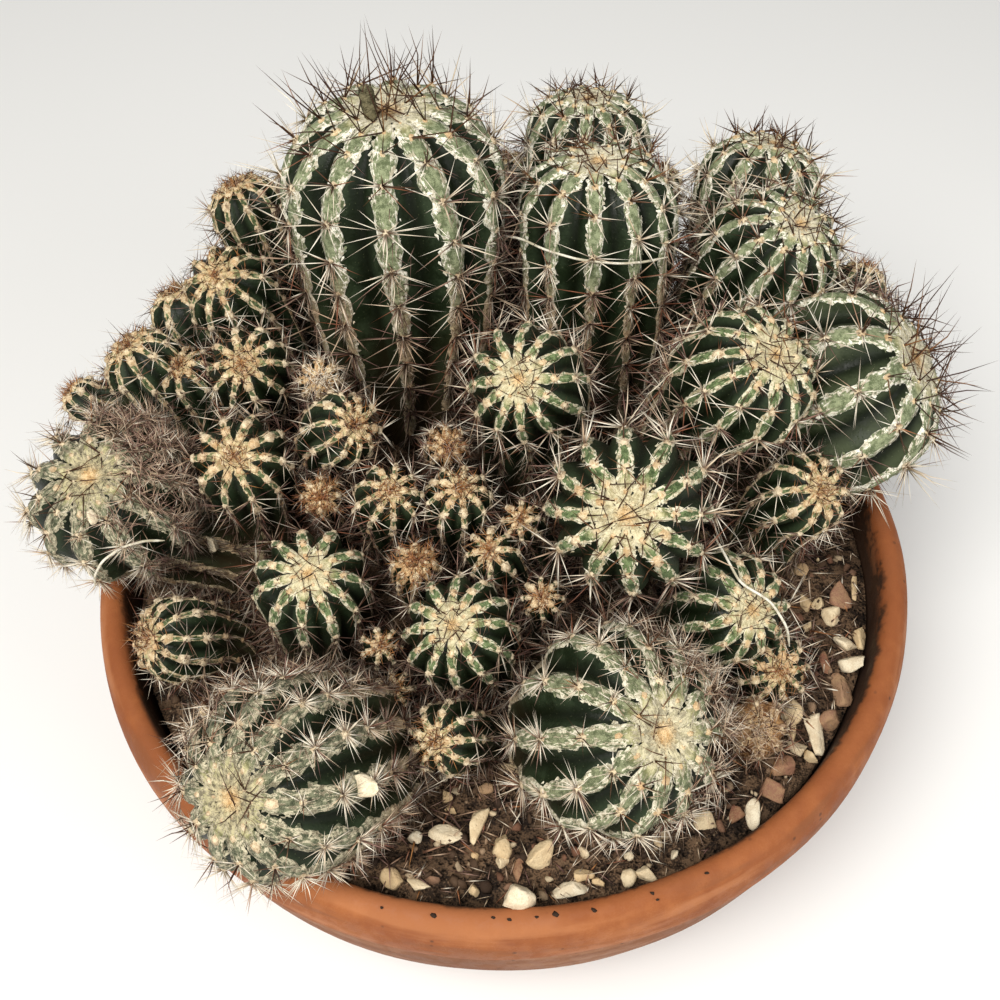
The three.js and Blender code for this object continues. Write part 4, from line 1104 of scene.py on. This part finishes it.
class Recipe:
    """Puts a material's or a group's nodes together from short calls"""

    def __init__(self, tree):
        self.tree = tree
        self.tree.nodes.clear()

    def node(self, kind, links=(), **settings):
        """A node of one kind; links pairs an input's name or number with a value or an output socket"""
        made = self.tree.nodes.new(kind)
        for name, value in settings.items():
            setattr(made, name, value)
        for place, value in dict(links).items():
            if isinstance(value, bpy.types.NodeSocket):
                self.tree.links.new(value, made.inputs[place])
            else:
                made.inputs[place].default_value = value
        return made

    def maths(self, operation, a, b=0.0, clamp=False):
        return self.node("ShaderNodeMath", {0: a, 1: b}, operation=operation, use_clamp=clamp).outputs[0]

    def times(self, a, b, clamp=False):
        return self.maths("MULTIPLY", a, b, clamp)

    def plus(self, a, b):
        return self.maths("ADD", a, b)

    def spot(self):
        """Where a point lies on the object, in metres"""
        return self.node("ShaderNodeTexCoord").outputs["Object"]

    def noise(self, where, scale, detail, **more):
        """Soft noise over a place, from 0 to 1"""
        links = {"Vector": where, "Scale": scale, "Detail": detail, **more}
        return self.node("ShaderNodeTexNoise", links).outputs[0]

    def blend(self, share, a, b):
        """Colour a where share is 0 and colour b where it is 1"""
        made = self.node("ShaderNodeMix", {0: share, 6: colour(a), 7: colour(b)}, data_type="RGBA")
        return made.outputs[2]

    def ramp(self, value, stops):
        made = self.node("ShaderNodeValToRGB", {0: value})
        elements = made.color_ramp.elements
        while len(elements) < len(stops):
            elements.new(0.5)
        for element, (place, shade) in zip(elements, stops):
            element.position = place
            element.color = colour(shade)
        return made.outputs[0]

    def mark(self, name):
        """A value that the mesh carries at each point"""
        return self.node("ShaderNodeAttribute", attribute_name=name).outputs["Fac"]

    def spread(self, value, low, high, to_low=0.0, to_high=1.0):
        links = {0: value, 1: low, 2: high, 3: to_low, 4: to_high}
        return self.node("ShaderNodeMapRange", links, interpolation_type="SMOOTHSTEP").outputs[0]


def colour(value):
    """A colour as a node wants it, from three numbers, or the socket itself"""
    return value if isinstance(value, bpy.types.NodeSocket) else (*value, 1.0)


def group(name, inputs, output, fill):
    """A shader node group of numbers, made once: inputs pair names with defaults, and output is a name"""
    tree = bpy.data.node_groups.get(name)
    if tree:
        return tree
    tree = bpy.data.node_groups.new(name, "ShaderNodeTree")
    for socket, default in inputs.items():
        made = tree.interface.new_socket(name=socket, in_out="INPUT", socket_type="NodeSocketFloat")
        made.default_value = default
    tree.interface.new_socket(name=output, in_out="OUTPUT", socket_type="NodeSocketFloat")
    recipe = Recipe(tree)
    source = recipe.node("NodeGroupInput").outputs
    result = fill(recipe, source)
    recipe.node("NodeGroupOutput", {output: result})
    return tree


def mottle_group():
    """Cloudy patches: a share from 0 to 1 that drifts over the surface, in one size with fine grain on top"""
    def fill(recipe, source):
        spot = recipe.spot()
        wide = recipe.noise(spot, source["Scale"], 5.0)
        fine_scale = recipe.times(source["Scale"], 9.0)
        fine = recipe.noise(spot, fine_scale, 3.0)
        grain = recipe.times(recipe.maths("SUBTRACT", fine, 0.5), source["Grain"])
        return recipe.spread(recipe.plus(wide, grain), 0.36, 0.64)
    return group("mottle", {"Scale": 100.0, "Grain": 0.3}, "Share", fill)


def relief_group():
    """Fine unevenness of a dry surface, as a bump's height"""
    def fill(recipe, source):
        spot = recipe.spot()
        soft = recipe.noise(spot, source["Scale"], 6.0)
        fine_scale = recipe.times(source["Scale"], 1.7)
        pits = recipe.node("ShaderNodeTexVoronoi", {"Vector": spot, "Scale": fine_scale})
        dips = recipe.spread(pits.outputs["Distance"], 0.0, 0.45)
        return recipe.plus(soft, recipe.times(dips, source["Pits"]))
    return group("fine_relief", {"Scale": 900.0, "Pits": 0.3}, "Height", fill)


def specks_group():
    """Small scattered specks, 1 on a speck and 0 between them"""
    def fill(recipe, source):
        cells = recipe.node("ShaderNodeTexVoronoi", {"Vector": recipe.spot(), "Scale": source["Scale"]})
        close = recipe.spread(cells.outputs["Distance"], 0.06, 0.2, 1.0, 0.0)
        parts = recipe.node("ShaderNodeSeparateColor", {0: cells.outputs["Color"]})
        chosen = recipe.maths("LESS_THAN", parts.outputs[0], source["Amount"])
        return recipe.times(close, chosen)
    return group("specks", {"Scale": 600.0, "Amount": 0.3}, "Speck", fill)


def streaks_group():
    """Streaks that run down a strip, from 0 to 1, by lengths in millimetres along and across it"""
    def fill(recipe, source):
        along = recipe.times(source["Along"], source["Stretch"])
        spot = recipe.node("ShaderNodeCombineXYZ", {0: source["Across"], 1: along}).outputs[0]
        return recipe.spread(recipe.noise(spot, 1.9, 4.0, Distortion=0.5), 0.36, 0.64)
    return group("felt_streaks", {"Along": 0.0, "Across": 0.0, "Stretch": 0.3}, "Share", fill)


class Finish(Recipe):
    """A material with one Principled shader, whose steady values are set on its own sockets"""

    def __init__(self, name, **steady):
        self.material = bpy.data.materials.new(name)
        self.material.use_nodes = True
        super().__init__(self.material.node_tree)
        self.shader = self.node("ShaderNodeBsdfPrincipled")
        for socket, value in steady.items():
            self.shader.inputs[socket.replace("_", " ")].default_value = value
        self.node("ShaderNodeOutputMaterial", {"Surface": self.shader.outputs[0]})

    def use(self, tree, **inputs):
        return self.node("ShaderNodeGroup", inputs, node_tree=tree).outputs[0]

    def mottle(self, scale, grain):
        return self.use(mottle_group(), Scale=scale, Grain=grain)

    def relief(self, scale, pits):
        return self.use(relief_group(), Scale=scale, Pits=pits)

    def specks(self, scale, amount):
        return self.use(specks_group(), Scale=scale, Amount=amount)

    def between(self, share, at_none, at_full):
        """A value that goes from one number to another with a share"""
        return self.spread(share, 0.0, 1.0, at_none, at_full)

    def done(self, base, roughness=None, height=None, strength=0.5, depth=0.0004):
        links = {"Base Color": base}
        if roughness is not None:
            links["Roughness"] = roughness
        if height is not None:
            bump = self.node("ShaderNodeBump", {"Strength": strength, "Distance": depth, "Height": height})
            links["Normal"] = bump.outputs[0]
        for socket, value in links.items():
            self.tree.links.new(value, self.shader.inputs[socket])
        return self.material


MADE = {}


def once(make):
    """Makes a material the first time it is asked for, and hands the same one out after that"""
    def given(*kind):
        key = (make.__name__, *kind)
        if key not in MADE:
            MADE[key] = make(*kind)
        return MADE[key]
    return given


# A skin's darker and lighter green
SKINS = {
    "dark": ((0.009, 0.016, 0.006), (0.026, 0.041, 0.019)),
    "light": ((0.025, 0.035, 0.015), (0.052, 0.066, 0.032)),
}


@once
def skin(kind):
    look = Finish("skin_" + kind, Specular_IOR_Level=0.18)
    patch = look.mottle(150.0, 0.35)
    crest, age = look.mark("crest"), look.mark("age")
    green = look.blend(patch, *SKINS[kind])
    # Painted shade: the green darkens to near-black towards the furrows
    deep = look.blend(look.spread(crest, 0.4, 1.0), green, (0.004, 0.007, 0.002))
    # Painted highlight: the green lightens along the crests
    light = look.blend(look.spread(crest, 0.45, 0.0, 0.0, 0.3), deep, (0.060, 0.082, 0.034))
    tired = look.blend(look.spread(age, 0.45, 0.95, 0.0, 0.75), light, (0.050, 0.032, 0.015))
    specks = look.specks(1500.0, 0.28)
    base = look.blend(look.times(specks, 0.4), tired, (0.20, 0.23, 0.12))
    rough = look.between(patch, 0.42, 0.6)
    height = look.relief(800.0, 0.35)
    return look.done(base, rough, height, 0.4, 0.0003)


@once
def dry_skin():
    look = Finish("dry_skin", Specular_IOR_Level=0.2)
    patch = look.mottle(220.0, 0.5)
    base = look.blend(patch, (0.13, 0.055, 0.025), (0.46, 0.26, 0.11))
    height = look.relief(500.0, 0.8)
    return look.done(base, look.between(patch, 0.75, 0.95), height, 0.9, 0.0006)


@once
def dried_flower():
    look = Finish("dried_flower", Specular_IOR_Level=0.15)
    patch = look.mottle(420.0, 0.6)
    base = look.blend(patch, (0.050, 0.045, 0.022), (0.24, 0.21, 0.12))
    height = look.relief(900.0, 0.5)
    return look.done(base, look.between(patch, 0.7, 0.92), height, 0.8, 0.0004)


# How far the green panel reaches across a strip, how far pale streaks break into it, the margin's darker and
# lighter colours, and the panel's
FELT_LOOKS = {
    "cream": (0.66, 0.8, (0.40, 0.33, 0.19), (0.87, 0.82, 0.62), (0.045, 0.070, 0.024), (0.19, 0.25, 0.11)),
    "small": (0.62, 0.8, (0.36, 0.26, 0.13), (0.84, 0.70, 0.46), (0.035, 0.052, 0.018), (0.16, 0.20, 0.09)),
    "green": (0.90, 0.95, (0.50, 0.45, 0.32), (1.00, 0.97, 0.84), (0.105, 0.130, 0.062), (0.31, 0.345, 0.20)),
    "dusty": (0.80, 1.3, (0.33, 0.29, 0.19), (0.83, 0.78, 0.61), (0.080, 0.096, 0.046), (0.27, 0.29, 0.165)),
    "grey": (0.62, 1.7, (0.17, 0.148, 0.095), (0.64, 0.58, 0.41), (0.044, 0.052, 0.028), (0.22, 0.225, 0.14)),
    "bud": (0.26, 0.6, (0.30, 0.16, 0.065), (0.68, 0.47, 0.25), (0.050, 0.045, 0.015), (0.24, 0.19, 0.09)),
    "dry": (0.30, 0.8, (0.26, 0.15, 0.075), (0.60, 0.42, 0.24), (0.16, 0.085, 0.040), (0.36, 0.23, 0.12)),
}
# A panel's darker and lighter colours where it is still young, beside the crown
YOUNG_PANEL = ((0.29, 0.275, 0.11), (0.61, 0.55, 0.30))


@once
def felt(kind):
    look = Finish("felt_" + kind, Specular_IOR_Level=0.12, Sheen_Weight=0.05, Sheen_Roughness=0.6)
    across, panel, old, young = (look.mark(name) for name in ("across", "panel", "old", "young"))
    scaly = look.mottle(800.0, 0.9)
    broad = look.mottle(160.0, 0.4)
    streaks = look.use(streaks_group(), Along=look.mark("run"), Across=look.mark("span"), Stretch=0.28)
    off = look.maths("ABSOLUTE", across)
    swell = look.maths("POWER", look.maths("SINE", look.times(panel, math.pi)), 0.6)
    reach, torn, pale, light, leaf, thin = FELT_LOOKS[kind]
    frayed = look.times(look.maths("SUBTRACT", streaks, 0.5), torn)
    edge = look.plus(look.times(swell, reach), frayed)
    lens = look.maths("SUBTRACT", edge, off)
    showing = look.spread(lens, -0.02, 0.18)
    green = look.blend(scaly, leaf, thin)
    if kind != "dry":
        green = look.blend(look.spread(young, 0.0, 0.7), green, look.blend(scaly, *YOUNG_PANEL))
    shade = look.times(look.plus(scaly, streaks), 0.5)
    margin = look.blend(look.spread(shade, 0.1, 0.7), pale, light)
    hidden = look.times(showing, look.spread(young, 1.0, 0.3, 0.22, 1.0))
    fresh = look.blend(hidden, margin, green)
    mellow = tuple(a * b for a, b in zip(light, (0.84, 0.80, 0.68)))
    buttery = look.blend(look.spread(shade, 0.05, 0.9), pale, mellow)
    fresh = look.blend(look.times(young, 0.9), fresh, look.blend(hidden, buttery, green))
    fresh = look.blend(look.mark("heart"), fresh, look.blend(scaly, (0.46, 0.27, 0.10), (0.82, 0.60, 0.33)))
    worn = look.blend(shade, (0.17, 0.095, 0.045), (0.66, 0.50, 0.31))
    fading = look.times(old, look.between(broad, 0.5, 1.0), clamp=True)
    base = look.blend(fading, fresh, worn)
    height = look.relief(1600.0, 0.5)
    return look.done(base, look.between(scaly, 0.75, 0.95), height, 0.8, 0.0003)


@once
def wool():
    look = Finish("areole_wool", Specular_IOR_Level=0.1, Sheen_Weight=0.05, Sheen_Roughness=0.6)
    shade, young, old = look.mark("across"), look.mark("panel"), look.mark("old")
    tufted = look.mottle(900.0, 0.8)
    cream = look.blend(tufted, (0.56, 0.38, 0.19), (0.88, 0.74, 0.48))
    tinted = look.blend(look.spread(shade, 0.25, 1.0, 0.0, 0.5), cream, (0.56, 0.33, 0.15))
    grown = look.blend(young, look.blend(tufted, (0.42, 0.31, 0.19), (0.80, 0.68, 0.48)), tinted)
    base = look.blend(look.times(old, 0.85), grown, (0.26, 0.15, 0.07))
    height = look.relief(2200.0, 0.4)
    return look.done(base, None, height, 0.9, 0.0003)


# Colours of a spine by its tone, along its middle and at its foot and point
SPINE_COLOURS = [
    (0.0, (0.035, 0.014, 0.010)), (0.13, (0.065, 0.026, 0.015)), (0.21, (0.50, 0.23, 0.075)),
    (0.31, (0.26, 0.095, 0.050)), (0.44, (0.70, 0.56, 0.39)), (0.57, (0.97, 0.91, 0.77)),
    (0.70, (0.62, 0.45, 0.30)), (0.80, (0.41, 0.265, 0.20)), (0.90, (0.255, 0.14, 0.115)),
    (1.0, (0.14, 0.065, 0.055)),
]
SHADED_COLOURS = [
    (0.0, (0.012, 0.006, 0.004)), (0.21, (0.19, 0.075, 0.022)), (0.31, (0.06, 0.022, 0.014)),
    (0.5, (0.25, 0.14, 0.08)), (0.75, (0.11, 0.062, 0.040)), (1.0, (0.05, 0.026, 0.02)),
]


@once
def spine():
    look = Finish("spine", Specular_IOR_Level=0.3, Roughness=0.45)
    along, tone = look.mark("along"), look.mark("tone")
    usual = look.ramp(tone, SPINE_COLOURS)
    shaded = look.ramp(tone, SHADED_COLOURS)
    # The darker foot is partly the spine's own dark foot and partly painted shade at its root; the darker
    # point is the spine's own
    foot = look.spread(along, look.times(tone, 0.62), 0.06, 0.0, 0.92)
    point = look.spread(along, 0.78, 1.0, 0.0, 0.7)
    grown = look.blend(look.maths("MAXIMUM", foot, point), usual, shaded)
    # Painted shade: spines low on a head and deep among the heads are darkened towards near-black brown
    base = look.blend(look.times(look.mark("deep"), 0.77), grown, (0.038, 0.017, 0.012))
    return look.done(base)


@once
def pale_fibre():
    look = Finish("pale_fibre", Specular_IOR_Level=0.2, Roughness=0.7)
    patch = look.mottle(300.0, 0.5)
    return look.done(look.blend(patch, (0.52, 0.47, 0.34), (0.86, 0.82, 0.70)))


# Where the clay's colour changes, in metres from the axis or above the foot: the lip of the rim, the soil
# stain and painted shade inside the wall, and the wall under the band, darkened with painted shade
LIP_REACH, LIP_HEIGHT = (0.0985, 0.0955), (0.066, 0.070)
STAIN_SHADE_REACH, STAIN_SHADE_HEIGHT = (0.0943, 0.0929), (0.050, 0.056)
WALL_HEIGHT = (0.060, 0.050)


@once
def terracotta():
    look = Finish("terracotta", Specular_IOR_Level=0.25)
    patch = look.mottle(30.0, 0.35)
    fine = look.mottle(300.0, 0.6)
    clay = look.blend(patch, (0.245, 0.071, 0.021), (0.365, 0.122, 0.037))
    fired = look.blend(look.times(fine, 0.35), clay, (0.27, 0.085, 0.028))
    spot = look.spot()
    high = look.node("ShaderNodeSeparateXYZ", {0: spot}).outputs[2]
    banded = look.node("ShaderNodeMapping", {0: spot, "Scale": (1.0, 1.0, 9.0)}).outputs[0]
    streak = look.noise(banded, 24.0, 6.0)
    turned = look.blend(look.spread(streak, 0.50, 0.66, 0.0, 0.5), fired, (0.49, 0.20, 0.082))
    sooty = look.blend(look.spread(streak, 0.46, 0.34, 0.0, 0.5), turned, (0.20, 0.075, 0.032))
    below = look.spread(high, *WALL_HEIGHT)
    # Painted shade: the wall under the band is darkened
    painted_wall_shade = look.blend(look.times(below, 0.5), sooty, (0.165, 0.080, 0.042))
    worn = look.mottle(55.0, 0.5)
    bloom = look.times(look.times(worn, look.spread(streak, 0.42, 0.62)), below)
    weathered = look.blend(look.times(bloom, 0.28), painted_wall_shade, (0.42, 0.25, 0.15))
    specks = look.specks(300.0, 0.22)
    spotted = look.blend(look.times(specks, 0.8), weathered, (0.085, 0.035, 0.018))
    flat = look.node("ShaderNodeVectorMath", {0: spot, 1: (1.0, 1.0, 0.0)}, operation="MULTIPLY").outputs[0]
    away = look.node("ShaderNodeVectorMath", {0: flat}, operation="LENGTH").outputs["Value"]
    uneven = look.plus(away, look.times(worn, 0.0012))
    lip = look.times(look.spread(away, *LIP_REACH), look.spread(high, *LIP_HEIGHT))
    lipped = look.blend(look.times(lip, 0.45), spotted, (0.30, 0.095, 0.032))
    # Soil stain and painted shade: the inside of the wall below the lip, darkened to near-black
    stain_and_shade = look.times(look.spread(uneven, *STAIN_SHADE_REACH), look.spread(high, *STAIN_SHADE_HEIGHT))
    base = look.blend(look.times(stain_and_shade, 0.93), lipped, (0.030, 0.017, 0.010))
    height = look.relief(700.0, 0.25)
    return look.done(base, look.between(fine, 0.62, 0.82), height, 0.35, 0.0003)


@once
def soil():
    look = Finish("soil", Specular_IOR_Level=0.15)
    patch = look.mottle(260.0, 0.9)
    broad = look.mottle(90.0, 0.2)
    lit = look.blend(patch, (0.026, 0.016, 0.010), (0.165, 0.102, 0.060))
    shadowed = look.blend(patch, (0.008, 0.005, 0.004), (0.060, 0.037, 0.022))
    base = look.blend(look.spread(broad, 0.2, 0.8, 0.0, 0.7), lit, shadowed)
    specks = look.specks(520.0, 0.4)
    base = look.blend(look.times(specks, 0.6), base, (0.34, 0.24, 0.15))
    height = look.relief(420.0, 0.9)
    return look.done(base, look.between(patch, 0.8, 0.98), height, 1.0, 0.0012)


@once
def grit_stone():
    look = Finish("grit_stone", Specular_IOR_Level=0.2)
    patch = look.mottle(500.0, 0.5)
    tint = look.ramp(look.mark("tint"), [
        (0.0, (0.030, 0.018, 0.012)), (0.45, (0.10, 0.060, 0.035)), (0.7, (0.22, 0.10, 0.06)),
        (0.85, (0.34, 0.24, 0.15)), (1.0, (0.62, 0.50, 0.33)),
    ])
    base = look.blend(look.times(patch, 0.4), tint, (0.05, 0.03, 0.02))
    return look.done(base, look.between(patch, 0.75, 0.95))


@once
def pumice_stone():
    look = Finish("pumice_stone", Specular_IOR_Level=0.15)
    patch = look.mottle(420.0, 0.7)
    tint = look.ramp(look.mark("tint"), [
        (0.0, (0.22, 0.085, 0.052)), (0.16, (0.30, 0.165, 0.105)), (0.22, (0.62, 0.44, 0.24)),
        (0.6, (0.76, 0.60, 0.37)), (1.0, (0.88, 0.80, 0.62)),
    ])
    base = look.blend(look.times(patch, 0.4), tint, (0.46, 0.31, 0.16))
    height = look.relief(700.0, 0.35)
    return look.done(base, look.between(patch, 0.75, 0.95), height, 0.7, 0.0004)


def dressed_head(growth):
    """A head's body, its felt with wool, and its spines"""
    name = growth.plan.name
    covering = dry_skin() if growth.dry else skin(growth.plan.skin)
    skin_body(growth).made(name + "_body", [covering], "dry_skin" if growth.dry else "skin", [name])
    areoles = [growth.areoles(rib) for rib in range(growth.ribs)]
    ribs = np.concatenate([np.full(len(s), rib) for rib, s in enumerate(areoles)])
    all_s = np.concatenate(areoles)
    cover = Shape()
    for rib, s in enumerate(areoles):
        strip(growth, cover, rib, s)
    tufts(growth, cover, all_s, ribs)
    replaced = [name.replace("head_", "felt_")] if growth.felt else []
    cover.made(name + "_felt", [felt(growth.look), wool()], "felt", replaced)
    head_spines(growth, all_s, ribs).made(name + "_spines", [spine()], "spine")


# The stage, in metres: half the floor's side, its colour, and the light from all round
FLOOR_HALF = 4.0
FLOOR_COLOUR = (0.88, 0.885, 0.88)
DAYLIGHT = (1.0, 0.985, 0.955)
DAYLIGHT_STRENGTH = 0.38
LIGHTS_AIM = (0, 0, 0.1)


def stage_floor():
    mesh = bpy.data.meshes.new("floor")
    corners = [(x * FLOOR_HALF, y * FLOOR_HALF, 0) for x, y in ((-1, -1), (1, -1), (1, 1), (-1, 1))]
    mesh.from_pydata(corners, [], [(0, 1, 2, 3)])
    look = Finish("pale_floor", Roughness=0.7, Specular_IOR_Level=0.2)
    look.shader.inputs["Base Color"].default_value = colour(FLOOR_COLOUR)
    mesh.materials.append(look.material)
    placed("floor", mesh)


def light(name, place, size, power, tint=(1, 1, 1)):
    """A round lamp of so many metres and watts, turned to the clump"""
    lamp = bpy.data.lights.new(name, "AREA")
    lamp.shape, lamp.size, lamp.energy, lamp.color = "DISK", size, power, tint
    piece = placed(name, lamp)
    piece.location = place
    piece.rotation_euler = (Vector(LIGHTS_AIM) - Vector(place)).to_track_quat("-Z", "Y").to_euler()


def studio():
    world = bpy.data.worlds.new("soft_daylight")
    world.use_nodes = True
    background = world.node_tree.nodes["Background"].inputs
    background["Color"].default_value = colour(DAYLIGHT)
    background["Strength"].default_value = DAYLIGHT_STRENGTH
    bpy.context.scene.world = world
    bpy.context.scene.view_settings.view_transform = "Standard"
    light("window", (-0.24, -0.46, 0.86), 0.55, 9.6, (1.0, 0.975, 0.93))
    light("fill", (0.7, -0.6, 0.6), 0.6, 3.1)


def camera():
    """The photograph's own angle"""
    pitch, roll = math.radians(CAMERA_PITCH), math.radians(CAMERA_ROLL)
    forward = Vector((0, math.cos(pitch), -math.sin(pitch)))
    level_up = Vector((0, math.sin(pitch), math.cos(pitch)))
    across = Vector((1, 0, 0))
    right = across * math.cos(roll) + level_up * math.sin(roll)
    up = level_up * math.cos(roll) - across * math.sin(roll)
    data = bpy.data.cameras.new("camera")
    data.sensor_width = SENSOR_WIDTH
    data.lens = data.sensor_width * FOCAL_PIXELS / PHOTO_SIDE
    data.clip_start = 0.01
    piece = placed("camera", data)
    turned = Matrix((right, up, -forward)).transposed().to_4x4()
    piece.matrix_world = Matrix.Translation(Vector(CAMERA_PLACE) * MM) @ turned
    bpy.context.scene.camera = piece


camera()
studio()
stage_floor()
bowl()
soil_bed()
loose_stones()
flower_stub()
GROWTHS = [Growth(plan, number) for number, plan in enumerate(HEADS)]
for growth in GROWTHS:
    dressed_head(growth)
for name, route in FIBRES.items():
    fibre(name, route)
